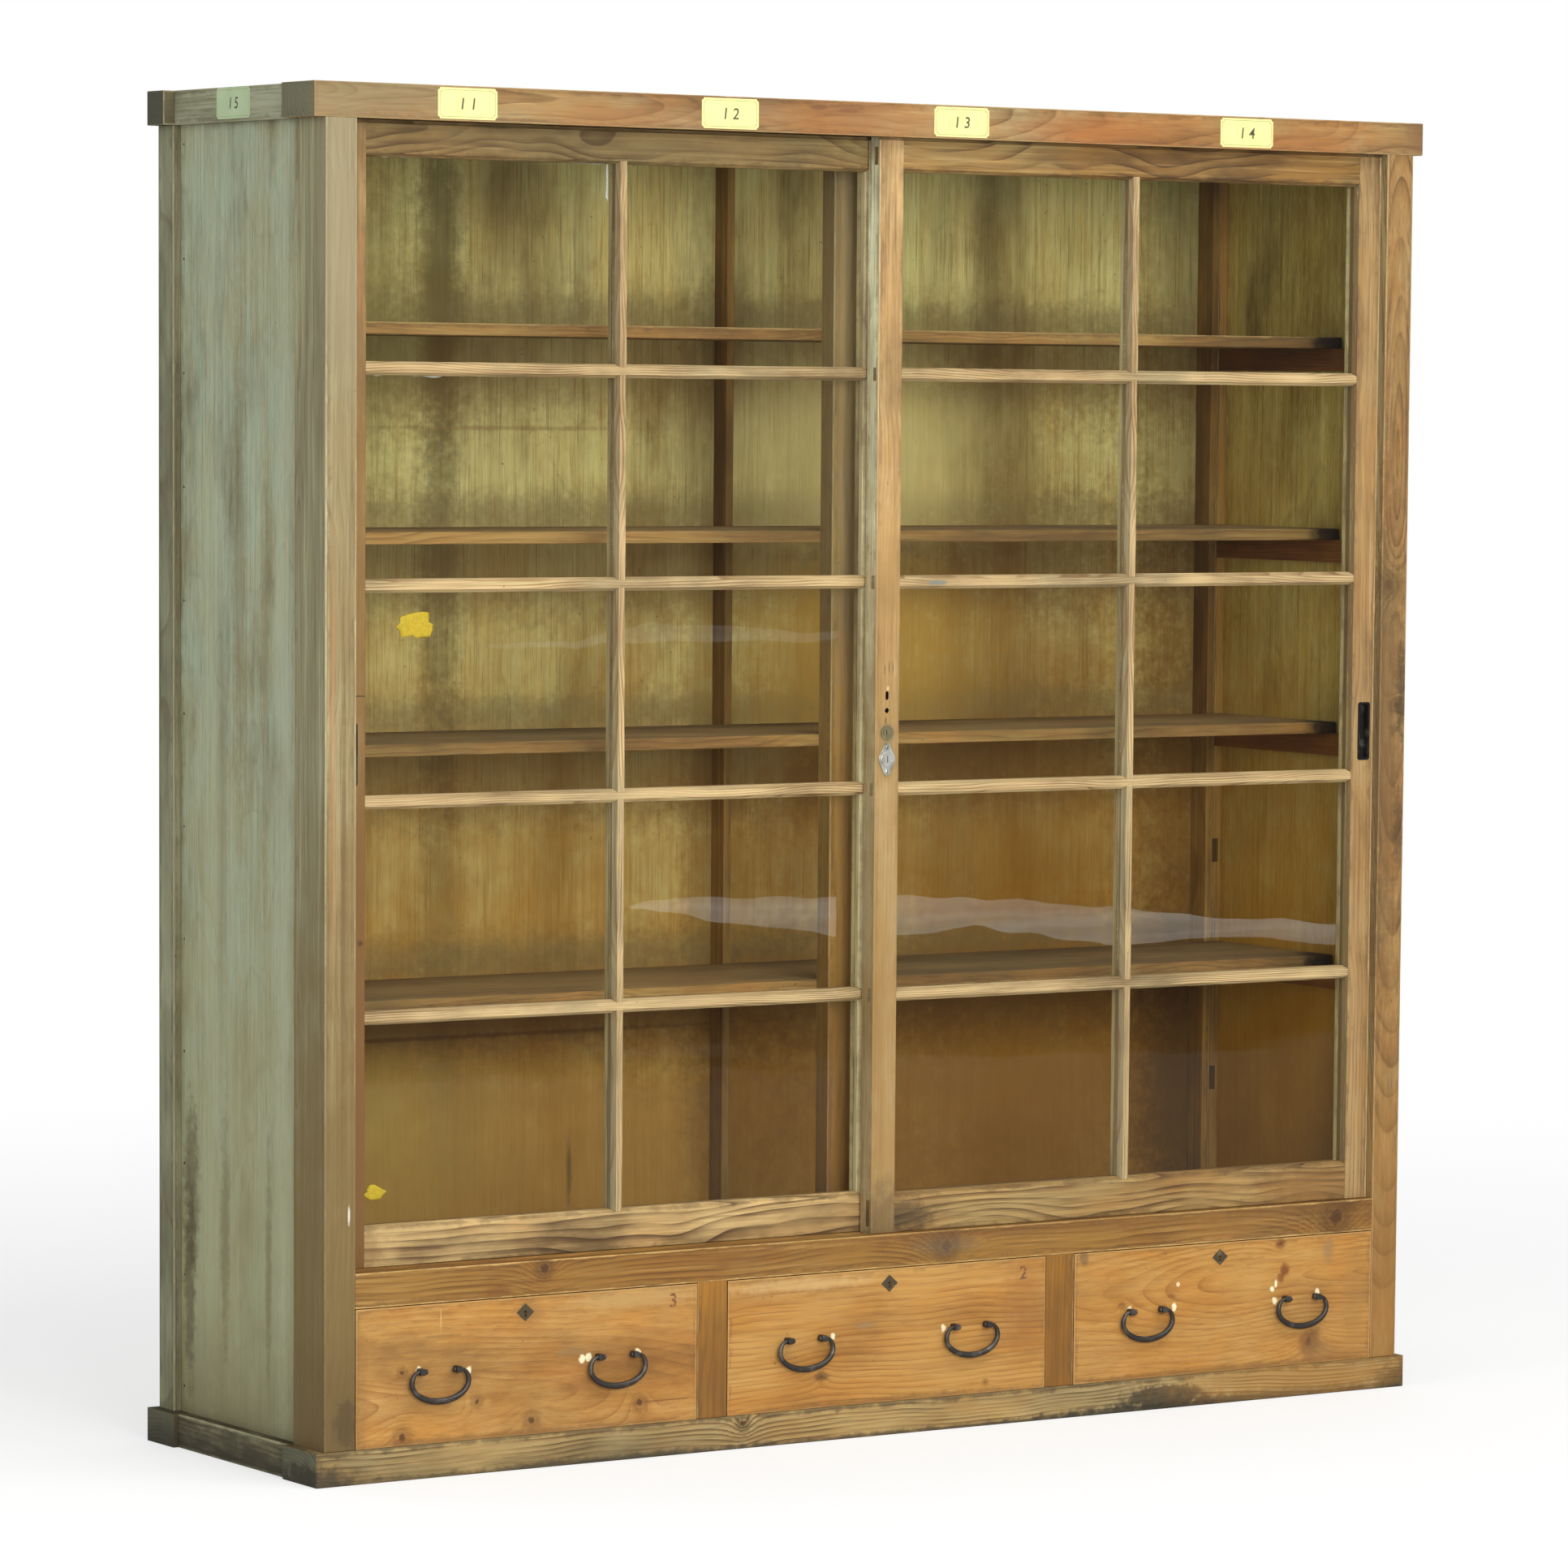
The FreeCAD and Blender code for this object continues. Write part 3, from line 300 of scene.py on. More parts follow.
def make_old_wood():
    """Colour, roughness and height of bare old softwood."""
    n, given = open_group(
        "old wood",
        **dict.fromkeys(("Vector", "Grain vector", "Normal", "Along", "Low", "High")),
        **dict.fromkeys(COLOUR_NAMES, WHITE),
        Rings=0.3, Fibres=0.35, Tint=0.6, Weather=0.35, Sides=0.7, Pores=0.0, Specks=0.6,
        Grime=0.4, Grime_width=0.008, Ring_width=0.006, Wander=0.01, Swell=0.0, Stain=0.3, Stain_size=0.2,
        Edge=0.5, Edge_width=0.003, Dust=0.0,
    )

    def lay(ground, mask, amount, tint):
        """Ground with a tint laid over it."""
        return n.mix(n.times(mask, amount), ground, given[tint + " colour"])

    rings = {key: given[key] for key in ("Ring width", "Wander", "Swell")}
    grain = n.group("grain", Vector=given["Grain vector"], **rings)
    late, fibre, streak = grain["Late"], grain["Fibre"], grain["Streak"]
    stain = n.group("stain", Vector=given["Grain vector"], Size=given["Stain size"], Amount=given["Stain"])
    x, y, z = n.split(given["Grain vector"])
    patchy = n.join(x, y, n.times(z, 0.4))
    colour = lay(given["Early"], n.ramp(n.noise(patchy, 11.0, 4.0, 0.62), 0.4, 0.62), given["Tint"], "Tint")
    weathered = n.ramp(n.noise(n.vector("ADD", patchy, (3.1, 1.7, 0.6)), 8.0, 5.0, 0.65), 0.48, 0.66)
    colour = lay(colour, weathered, given["Weather"], "Side")
    # Faces turned to the left or right take the side colour: painted light and shade of how the light falls
    # on them.
    side = n.ramp(n.math("ABSOLUTE", n.split(given["Normal"])[0]), 0.5, 0.8)
    colour = lay(colour, side, given["Sides"], "Side")
    colour = lay(colour, late, given["Rings"], "Late")
    colour = lay(colour, n.times(grain["Line"], given["Rings"]), 0.75, "Stain")
    colour = lay(colour, n.ramp(streak, 0.45, 0.7), n.times(given["Fibres"], 0.9), "Late")
    colour = lay(colour, n.ramp(streak, 0.48, 0.3), n.times(given["Fibres"], 0.5), "Edge")
    colour = lay(colour, n.times(n.ramp(fibre, 0.52, 0.68), given["Fibres"]), 0.8, "Stain")
    colour = lay(colour, n.ramp(grain["Pore"], 0.54, 0.66), given["Pores"], "Edge")
    colour = lay(colour, stain["Mask"], 0.8, "Stain")
    colour = lay(colour, n.ramp(n.noise(given["Vector"], 150.0, 1.0), 0.76, 0.82), given["Specks"], "End")
    box = {key: given[key] for key in ("Vector", "Low", "High")}
    # Darker near the edges of each board: grime, and painted shade where boards meet.
    grime_and_shade = n.group("arris", **box, Width=given["Grime width"], Break=1.2)
    colour = lay(colour, grime_and_shade["Edge"], given["Grime"], "Stain")
    arris = n.group("arris", **box, Width=given["Edge width"])
    colour = lay(colour, arris["Edge"], given["Edge"], "Edge")
    across = n.math("ABSOLUTE", n.vector("DOT_PRODUCT", given["Normal"], given["Along"]))
    rings_at_end = n.mix(n.times(late, 0.5), given["End colour"], given["Stain colour"])
    colour = n.mix(n.times(n.ramp(across, 0.8, 0.95), 0.85), colour, rings_at_end)
    up = n.ramp(n.split(given["Normal"])[2], 0.7, 0.95)
    dust = n.times(n.times(up, given["Dust"]), n.ramp(stain["Fine"], 0.2, 0.7, 0.6, 1.0))
    return close_group(
        n,
        Color=n.mix(dust, colour, DUST_COLOUR),
        Roughness=n.plus(n.times_plus(fibre, 0.25, 0.5), n.times(stain["Mask"], 0.1)),
        Height=n.plus(n.times(late, given["Rings"]), n.times(fibre, given["Fibres"])),
    )


GROUPS = {}
for make_group in (make_grain, make_arris, make_stain, make_spot, make_knot, make_old_wood):
    group = make_group()
    GROUPS[group.name] = group


# Palettes of the woods, each as the real boards show them, but for the side colour, which also paints the
# light and shade on faces turned sideways


def palette(*colours):
    """Named colours of one wood, from its light ground to its weathered patches; the side colour also gives
    the painted light and shade of faces turned sideways.
    """
    return {name: rgb(*colour) for name, colour in zip(COLOUR_NAMES, colours)}


FRONT = palette(
    (150, 118, 70), (150, 100, 50), (106, 72, 36), (78, 58, 36), (196, 166, 114), (60, 46, 30),
    (140, 134, 100),
)
TRACK = palette(
    (140, 102, 44), (136, 88, 32), (92, 58, 22), (80, 54, 28), (206, 168, 102), (60, 46, 30),
    (140, 116, 70),
)
LEFT_POST = palette(
    (146, 132, 96), (136, 114, 72), (112, 94, 58), (92, 78, 52), (204, 196, 150), (84, 82, 64),
    (130, 130, 102),
)
DOOR = palette(
    (168, 138, 90), (158, 118, 68), (120, 86, 46), (88, 66, 42), (224, 196, 142), (110, 84, 48),
    (192, 188, 144),
)
RAIL = palette(
    (162, 132, 80), (150, 106, 50), (84, 56, 28), (64, 46, 28), (212, 184, 126), (110, 84, 48),
    (132, 122, 82),
)
# The muntins' side colour serves both their weathered patches and the painted shade on their bevels turned
# sideways.
MUNTIN = palette(
    (188, 164, 118), (176, 150, 108), (124, 92, 50), (94, 70, 40), (240, 208, 146), (110, 84, 48),
    (112, 112, 88),
)
DRAWER = palette(
    (174, 132, 68), (172, 114, 40), (140, 88, 34), (110, 74, 36), (198, 158, 98), (84, 54, 28),
    (150, 122, 76),
)
DIVIDER = palette(
    (160, 110, 34), (150, 98, 26), (116, 74, 22), (90, 66, 34), (178, 140, 84), (110, 74, 38),
    (140, 106, 60),
)
BASE = palette(
    (170, 144, 92), (156, 118, 62), (108, 78, 40), (54, 46, 32), (116, 96, 62), (90, 90, 70),
    (150, 150, 116),
)
INSIDE = palette(
    (160, 122, 56), (140, 96, 38), (110, 72, 28), (74, 52, 26), (192, 166, 110), (54, 38, 20),
    (124, 104, 62),
)
BEARER = palette(
    (140, 88, 34), (122, 72, 24), (92, 54, 20), (62, 38, 16), (170, 112, 48), (54, 32, 14),
    (140, 88, 34),
)
SHELF = palette(
    (152, 120, 66), (150, 100, 46), (108, 72, 32), (70, 52, 28), (176, 146, 92), (34, 24, 15),
    (60, 42, 22),
)
GREY = palette(
    (140, 138, 108), (128, 122, 88), (110, 100, 70), (72, 64, 42), (166, 160, 128), (72, 72, 60),
    (146, 150, 122),
)
PLY = palette(
    (230, 218, 144), (212, 178, 96), (170, 144, 76), (98, 76, 30), (240, 230, 166), (84, 66, 34),
    (206, 200, 130),
)
PLY_OUTSIDE = palette(
    (160, 138, 92), (146, 116, 66), (128, 102, 60), (92, 74, 44), (184, 166, 120), (84, 66, 34),
    (148, 138, 102),
)
PLY_LINING = palette(
    (190, 166, 88), (150, 122, 52), (136, 112, 48), (82, 62, 26), (220, 206, 138), (90, 74, 38),
    (190, 176, 104),
)
PLY_SIDE = palette(
    (148, 158, 134), (148, 146, 112), (122, 120, 86), (92, 78, 46), (176, 174, 140), (76, 66, 42),
    (138, 150, 130),
)
KNOT_HEART = rgb(70, 44, 24)

# Colours of stains and marks, and the near black of the painted shade in holes

DARK = (46, 38, 26)
BROWN = (108, 66, 30)
CREAM = (232, 222, 184)
KNOT_GREY = (96, 84, 66)
DARK_GREY_BROWN = (52, 48, 38)
OLIVE = (84, 70, 32)
VARNISH = (170, 116, 18)
STREAK_BROWN = (104, 88, 50)
PENCIL = (84, 66, 48)
# Near black at the bottoms of holes: painted shade.
HOLE_SHADE = (36, 24, 14)
RUST = (112, 60, 28)


# Boards

AXES = {"x": (1.0, 0.0, 0.0), "y": (0.0, 1.0, 0.0), "z": (0.0, 0.0, 1.0), "crossed": (0.0, 0.0, 0.0)}
WOOD_RELIEF = 0.0006
WOOD_SHINE = 0.3

# Muntins: middle of the lowest level bar, distance between bars, half width and half flat face

FIRST_MUNTIN = 0.5996
MUNTIN_PITCH = 0.2796
MUNTIN_HALF = 0.0092
MUNTIN_FACE = 0.005


def grain_vector(n, place, axis, pith, lean=None):
    """Place in the cabinet turned so that the grain runs along z, with the pith at the origin.

    lean is (slope, start): the pith comes nearer to the front face along the board, which gives a
    pointed figure.
    """
    x, y, z = n.split(place)
    if lean:
        slope, start = lean
        run = n.less({"x": x, "y": y, "z": z}[axis], start)
        y = n.less(y, n.times(run, slope))
    first, second, along = {"x": (y, z, x), "y": (x, z, y), "z": (x, y, z)}[axis]
    return n.join(n.less(first, pith[0]), n.less(second, pith[1]), along)


def crossed_vector(n, place, middle, pith):
    """Grain of a muntin grille: upright in one bar and level in the others, mitred where they cross."""
    x, y, z = n.split(place)
    across = n.math("ABSOLUTE", n.less(x, middle))
    row = n.math("FRACT", n.plus(n.over(n.less(z, FIRST_MUNTIN), MUNTIN_PITCH), 0.5))
    away = n.times(n.math("ABSOLUTE", n.less(row, 0.5)), MUNTIN_PITCH)
    upright = n.math("LESS_THAN", across, MUNTIN_HALF)
    clear = n.math("GREATER_THAN", away, n.math("MAXIMUM", across, MUNTIN_FACE))
    level_grain = grain_vector(n, place, "x", pith)
    upright_grain = grain_vector(n, place, "z", (middle + 0.05, pith[0]))
    inputs = {0: n.times(upright, clear), 4: level_grain, 5: upright_grain}
    return n.add("ShaderNodeMix", inputs, data_type="VECTOR").outputs[1]


def faded(n, place, colour, fades):
    """Colour with each fade laid over it, strongest at its first end."""
    for way, start, end, tint, strength in fades:
        along = n.split(place)["xyz".index(way)]
        along = n.times_plus(n.swing(place, 9.0, 4.0, 0.65), abs(end - start), along)
        colour = n.mix(n.ramp(along, start, end, strength, 0.0), colour, rgb(*tint))
    return colour


def blotted(n, place, colour, blots):
    """Colour with each blot laid over it."""
    for centre, size, tint, strength, soft, ragged in blots:
        spot = n.group("spot", Vector=place, Centre=centre, Size=size, Soft=soft, Ragged=ragged)
        colour = n.mix(n.times(spot["Mask"], strength), colour, rgb(*tint))
    return colour


def blots_on(plane, depth, *rows):
    """Blots on an upright face that looks to the front, at y = plane.

    Each row is x, z, half width, half height, colour, strength, and where they aren't the usual ones
    softness and raggedness.
    """
    blots = []
    for x, z, width, height, tint, strength, *edge in rows:
        soft, ragged = edge or (0.4, 0.5)
        blots.append(((x, plane, z), (width, depth, height), tint, strength, soft, ragged))
    return blots


def wood_material(node, colours, axis, pith, knots=(), blots=(), fades=(), inner=None, lean=None, **sizes):
    """Material of one board or set of boards.

    knots are (centre, size) pairs, blots (centre, size, colour, strength, soft, ragged) rows and
    fades (axis, from, to, colour, strength) rows, in metres. inner is (axis, limit, colours, fades,
    blots) of the faces that look into the cabinet.
    """
    material, n, shader = new_material(node.replace("_", " "))
    place = n.place()
    low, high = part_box(node)
    inputs = {"Low": tuple(low), "High": tuple(high), "Vector": place, "Normal": n.facing(), **colours}
    inputs["Along"] = AXES[axis]
    if axis == "crossed":
        inputs["Grain vector"] = crossed_vector(n, place, (low[0] + high[0]) / 2, pith)
    else:
        inputs["Grain vector"] = grain_vector(n, place, axis, pith, lean)
    for key, value in sizes.items():
        inputs[key.replace("_", " ")] = rgb(*value) if isinstance(value, tuple) else value
    found = [n.group("knot", Vector=place, Centre=centre, Size=size) for centre, size in knots]
    for item in found:
        inputs["Swell"] = n.plus(inputs["Swell"], item["Swell"]) if "Swell" in inputs else item["Swell"]
    wood = n.group("old wood", **inputs)
    colour = wood["Color"]
    for item in found:
        colour = n.mix(n.times(item["Halo"], 0.5), colour, colours["Stain colour"])
        colour = n.mix(n.times(item["Heart"], 0.85), colour, KNOT_HEART)
    colour = blotted(n, place, faded(n, place, colour, fades), blots)
    if inner:
        way, limit, lining, inner_fades, inner_blots = inner
        lined = n.group("old wood", **{**inputs, **lining})
        inside = blotted(n, place, faded(n, place, lined["Color"], inner_fades), inner_blots)
        away = n.math("ABSOLUTE", n.split(place)["xyz".index(way)])
        colour = n.mix(n.ramp(away, limit - 0.0006, limit + 0.0006), inside, colour)
    n.surface(shader, colour, wood["Roughness"], wood["Height"], 0.8, WOOD_RELIEF)
    shader.inputs["Specular IOR Level"].default_value = WOOD_SHINE
    return material


def dress(node, material, ease=0.0, plain_faces=True):
    """Material on a solid piece, with its edges eased by a modifier."""
    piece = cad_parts[node]
    piece.data.materials.clear()
    piece.data.materials.append(material)
    if ease:
        weld = piece.modifiers.new("weld", "WELD")
        weld.merge_threshold = 0.00001
        if plain_faces:
            plain = piece.modifiers.new("plain faces", "DECIMATE")
            plain.decimate_type = "DISSOLVE"
            plain.angle_limit = math.radians(1)
        round_over = piece.modifiers.new("eased edges", "BEVEL")
        round_over.width = ease
        round_over.segments = 2
        round_over.limit_method = "ANGLE"
        round_over.angle_limit = math.radians(35)
        round_over.miter_outer = "MITER_ARC"


def board(node, colours, axis, pith, ease=0.0009, plain_faces=True, **looks):
    """Wood on one piece or set of pieces."""
    dress(node, wood_material(node, colours, axis, pith, **looks), ease, plain_faces)


# Carcass

CASE_FRONT = -0.232
BASE_FRONT = -0.235
CENTRE_POST_PLANE = -0.127
SHELF_PLANE = -0.097
MARK_DEPTH = 0.02
PALE_BASE = {"Early": (134, 130, 98), "Tint_colour": (118, 112, 80)}

board(
    "top_front_rail", FRONT, "x", (-0.19, 1.79), 0.0014,
    Stain=0.2, Edge_width=0.002, Wander=0.012, Rings=0.5, Tint=0.8, Weather=0.5, End_colour=(98, 100, 80),
    lean=(0.05, -0.2),
    blots=blots_on(
        CASE_FRONT, MARK_DEPTH,
        (-0.82, 1.78, 0.14, 0.03, (122, 106, 74), 0.6, 0.7, 0.5),
        (-0.45, 1.765, 0.10, 0.016, (150, 102, 58), 0.45, 0.6, 0.6),
        (-0.05, 1.775, 0.16, 0.02, (152, 100, 56), 0.45, 0.7, 0.6),
        (0.32, 1.77, 0.12, 0.02, (146, 88, 44), 0.5, 0.7, 0.6),
        (0.62, 1.765, 0.12, 0.016, (140, 92, 50), 0.5, 0.7, 0.6),
        (-0.13, 1.79, 0.012, 0.003, (96, 62, 40), 0.6, 0.5, 0.5),
        (-0.08, 1.787, 0.016, 0.003, (110, 70, 44), 0.6, 0.5, 0.5),
        (0.885, 1.78, 0.02, 0.03, (110, 84, 54), 0.6, 0.6, 0.5),
    ),
)
board("top_back_rail", GREY, "x", (0.30, 1.74), Stain=0.5)
board("top_side_rails", GREY, "y", (-0.82, 1.66), Stain=0.35, Stain_size=0.08, Early=(156, 156, 130))
board(
    "base_front_rail", BASE, "x", (-0.16, -0.09), 0.006,
    Stain=0.3, Edge=0.4, Edge_width=0.005, Rings=0.8, Ring_width=0.005, Wander=0.012, Grime=0.6,
    knots=[((-0.236, BASE_FRONT, 0.034), 0.008)],
    # Darker along the foot of the rail and at its lower ends.
    blots=blots_on(
        BASE_FRONT, 0.05,
        (0.459, 0.016, 0.075, 0.017, DARK_GREY_BROWN, 0.85, 0.35, 0.5),
        (0.44, 0.0, 0.2, 0.011, DARK_GREY_BROWN, 0.8, 0.4, 0.6),
    ) + blots_on(
        BASE_FRONT, 0.1,
        (0.885, 0.002, 0.05, 0.03, DARK_GREY_BROWN, 0.85, 0.4, 0.5),
        (0.66, 0.0, 0.2, 0.012, DARK_GREY_BROWN, 0.6, 0.5, 0.6),
        (0.72, 0.03, 0.2, 0.03, (150, 106, 44), 0.5, 0.6, 0.6),
        (-0.885, 0.0, 0.05, 0.026, DARK_GREY_BROWN, 0.8, 0.4, 0.5),
        (-0.45, 0.0, 0.2, 0.008, DARK_GREY_BROWN, 0.6, 0.5, 0.6),
        (0.0, 0.0, 0.35, 0.005, DARK_GREY_BROWN, 0.5, 0.5, 0.6),
    ),
)
board(
    "base_back_rail", BASE, "x", (0.2, -0.06), 0.006,
    # Darker towards the bottom.
    Stain=0.6, fades=[("z", 0.0, 0.05, DARK_GREY_BROWN, 0.7)], **PALE_BASE,
)
board(
    "base_side_rails", BASE, "y", (-0.8, -0.05), 0.005,
    Stain=0.7, Stain_size=0.05, Edge=0.9, Edge_width=0.005, Edge_colour=(150, 148, 112), Sides=0.6, Rings=0.6,
    # Darker towards the bottom.
    fades=[("z", 0.0, 0.05, DARK_GREY_BROWN, 0.6)], **PALE_BASE,
)
board(
    "front_post_left", LEFT_POST, "z", (-0.89, -0.16),
    Stain=0.25, Ring_width=0.005, Sides=0.85, Fibres=0.5,
    fades=[("z", 0.3, 1.1, (108, 86, 44), 0.8), ("z", 0.04, 0.3, (92, 74, 44), 0.45)],
    blots=blots_on(
        CASE_FRONT, MARK_DEPTH,
        (-0.85, 1.62, 0.06, 0.22, (132, 122, 94), 0.7, 0.7, 0.4),
        (-0.862, 0.95, 0.004, 0.25, (146, 100, 60), 0.45, 0.6, 0.4),
        (-0.845, 0.75, 0.004, 0.3, (96, 72, 42), 0.5, 0.6, 0.4),
        (-0.84, 0.08, 0.018, 0.03, (74, 58, 36), 0.6, 0.5, 0.6),
        (-0.8365, 0.352, 0.0016, 0.011, (206, 206, 196), 0.8, 0.4, 0.3),
    ),
)
board(
    "front_post_right", FRONT, "z", (0.852, -0.205),
    lean=(0.1, 1.6), Stain=0.3, Wander=0.006, Rings=0.6, Ring_width=0.0065,
    knots=[((0.84, CASE_FRONT, 1.15), 0.014), ((0.855, CASE_FRONT, 0.98), 0.008)],
    fades=[("z", 0.05, 0.9, (150, 108, 48), 0.5)],
    blots=blots_on(
        CASE_FRONT, MARK_DEPTH,
        (0.835, 0.95, 0.03, 0.35, (96, 74, 44), 0.65, 0.6, 0.5),
        (0.865, 1.0, 0.008, 0.06, (60, 46, 34), 0.6, 0.5, 0.6),
        (0.862, 0.8, 0.008, 0.05, (66, 50, 36), 0.5, 0.5, 0.6),
    ),
)
board("back_posts", GREY, "z", (0.9, 0.16), Stain=0.35, Sides=0.6, inner=("x", 0.8606, INSIDE, (), ()))
board("back_battens", INSIDE, "z", (0.03, 0.3), Stain=0.55, Sides=0.0)
board(
    "track_rail", TRACK, "x", (-0.3, 0.2),
    Stain=0.2, Stain_size=0.08, Rings=0.6, Edge=0.7, Ring_width=0.005,
    knots=[((x, CASE_FRONT, z), size) for x, z, size in (
        (-0.544, 0.264, 0.011), (0.093, 0.253, 0.016), (0.762, 0.253, 0.02),
    )],
    blots=blots_on(
        CASE_FRONT, MARK_DEPTH,
        (-0.615, 0.238, 0.018, 0.008, BROWN, 0.6, 0.5, 0.5),
        (0.093, 0.255, 0.05, 0.014, KNOT_GREY, 0.5, 0.5, 0.5),
        (0.3, 0.268, 0.45, 0.010, (110, 74, 36), 0.4, 0.6, 0.6),
    ),
)
board("drawer_dividers", DIVIDER, "z", (-0.33, -0.16), Stain=0.3, Sides=0.0, Tint=0.9)
board("drawer_runners", SHELF, "y", (0.0, -0.04), Stain=0.5)
board(
    "centre_post", INSIDE, "z", (-0.05, -0.2), Stain=0.3, Sides=0.4,
    # Grey at the top of the post: painted reflection of the glass in front of it.
    blots=blots_on(CENTRE_POST_PLANE, 0.06, (0.0, 1.5, 0.06, 0.5, (124, 118, 92), 0.5, 0.7, 0.4)),
    fades=[("z", 0.25, 0.95, (110, 72, 26), 0.75)],
)
board("shelf_bearers", BEARER, "y", (0.8, 0.2), Stain=0.4, Sides=0.0, Edge=0.1, Weather=0.0)
SHELF_ENDS = [(0.85, z, 0.045, 0.03, (30, 20, 12), 0.9, 0.35, 0.3) for z in (0.605, 0.941, 1.218, 1.491)]
board(
    "shelves", SHELF, "x", (-0.14, 0.9), Stain=0.4, Dust=0.25, Stain_size=0.2, Ring_width=0.007, Rings=0.5,
    Wander=0.02, blots=blots_on(SHELF_PLANE, 0.05, *SHELF_ENDS),
)
board("case_floor", SHELF, "x", (0.4, 0.12), Stain=0.5, Dust=0.5)


# Sheets, with the stains, and the painted shadows under the shelves, that show behind the panes

SHELF_UNDERSIDES = (1.483, 1.21, 0.933, 0.597)
BACK_STAINS_AND_SHADOWS = (
    (-0.447, 1.60, 0.028, 0.25, OLIVE, 0.7),
    (-0.447, 1.20, 0.03, 0.30, OLIVE, 0.55),
    (-0.445, 0.7, 0.03, 0.30, OLIVE, 0.35),
    (-0.37, 1.68, 0.10, 0.05, OLIVE, 0.3),
    (-0.223, 1.62, 0.02, 0.15, OLIVE, 0.25),
    (-0.236, 0.33, 0.004, 0.04, OLIVE, 0.7),
    (0.455, 1.5, 0.02, 0.3, OLIVE, 0.35),
    (0.41, 1.2, 0.02, 0.2, OLIVE, 0.4),
    (0.40, 0.75, 0.04, 0.35, (110, 80, 30), 0.4),
    (0.80, 1.40, 0.09, 0.6, OLIVE, 0.5),
    (0.82, 0.60, 0.1, 0.5, (74, 48, 8), 0.6),
    (-0.02, 1.0, 0.03, 0.8, OLIVE, 0.4),
    (-0.35, 1.36, 0.19, 0.003, (150, 118, 70), 0.5),
    (0.5, 0.75, 0.45, 0.5, (142, 92, 10), 0.5),
    (0.55, 0.40, 0.45, 0.22, (112, 70, 8), 0.35),
    (0.52, 0.45, 0.16, 0.07, (166, 118, 34), 0.35),
    # Below each shelf: the shelf's painted shadow on the back, with a real darkening of the wood.
    *[(0.0, z - 0.03, 1.6, 0.08, (104, 66, 16), 0.6) for z in SHELF_UNDERSIDES],
    *[(0.0, z + 0.035, 1.6, 0.022, (120, 112, 74), 0.35) for z in SHELF_UNDERSIDES],
    (-0.64, 1.56, 0.17, 0.27, (128, 116, 60), 0.7),
    (0.82, 0.40, 0.08, 0.25, (54, 34, 6), 0.6),
    (0.24, 1.33, 0.19, 0.12, (224, 208, 138), 0.6),
    (0.22, 1.05, 0.20, 0.11, (208, 164, 70), 0.6),
    (-0.60, 0.40, 0.20, 0.12, (158, 138, 64), 0.5),
    # Below the lowest shelf on the left: painted shadow, with a darker line at its ragged edge.
    (-0.42, 0.55, 0.40, 0.035, (96, 56, 16), 0.5),
    (-0.42, 0.525, 0.38, 0.003, (80, 46, 14), 0.6),
)
SIDE_STREAKS = (
    (0.02, 1.20, 0.016, 0.30, STREAK_BROWN, 0.4, 0.7, 0.5),
    (-0.05, 1.00, 0.010, 0.25, STREAK_BROWN, 0.35, 0.7, 0.5),
    (0.07, 0.90, 0.012, 0.30, STREAK_BROWN, 0.3, 0.7, 0.5),
    (0.155, 0.35, 0.02, 0.10, (74, 60, 32), 0.6, 0.6, 0.6),
    (0.16, 0.22, 0.014, 0.12, (74, 60, 32), 0.6, 0.6, 0.6),
    (0.06, 0.30, 0.012, 0.14, (92, 80, 48), 0.45, 0.6, 0.6),
    (-0.06, 0.26, 0.008, 0.14, (92, 80, 48), 0.4, 0.6, 0.6),
    (-0.10, 0.9, 0.02, 0.8, (166, 168, 140), 0.35, 0.7, 0.4),
    (0.10, 0.9, 0.02, 0.7, (160, 160, 124), 0.3, 0.7, 0.4),
)
SIDE_PLANE = -0.8605
BACK_PLANE = 0.223
BACK_MIDDLE = sum(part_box("back_panels")[end].y for end in (0, 1)) / 2
LINING_FADES = [("z", 0.35, 1.40, VARNISH, 0.85), ("z", 0.1, 0.6, (104, 72, 14), 0.4)]
back_blots = blots_on(BACK_PLANE, 0.05, *[(*back_row, 0.7, 0.35) for back_row in BACK_STAINS_AND_SHADOWS])
board(
    "back_panels", PLY_OUTSIDE, "z", (0.2, 3.0), 0.0,
    Stain=0.3, Rings=0.1, Ring_width=0.05, Wander=0.05, Edge=0.0, Fibres=0.5, Pores=0.22, Weather=0.5,
    Grime=0.0,
    inner=("y", BACK_MIDDLE, PLY, LINING_FADES, back_blots), fades=[("z", 0.0, 0.5, (96, 80, 50), 0.5)],
)
board(
    "side_panels", PLY_SIDE, "z", (3.0, 0.2), 0.0,
    Stain=0.2, Stain_size=0.08, Rings=0.2, Ring_width=0.03, Wander=0.05, Edge=0.0, Sides=0.0, Weather=0.6,
    Tint=0.7, Fibres=0.5, Pores=0.3, Grime=0.3, Grime_width=0.02,
    blots=[((SIDE_PLANE, y, z), (0.02, width, height), *look) for y, z, width, height, *look in SIDE_STREAKS],
    inner=("x", 0.8592, PLY_LINING, LINING_FADES, ()),
    fades=[("z", 0.1, 1.2, (142, 138, 100), 0.65), ("z", 0.04, 0.25, (94, 88, 56), 0.45)],
)
board(
    "top_panel", PLY_OUTSIDE, "x", (0.2, 3.0), 0.0,
    Stain=0.5, Rings=0.1, Ring_width=0.05, Dust=0.5, Edge=0.0,
)


# Doors

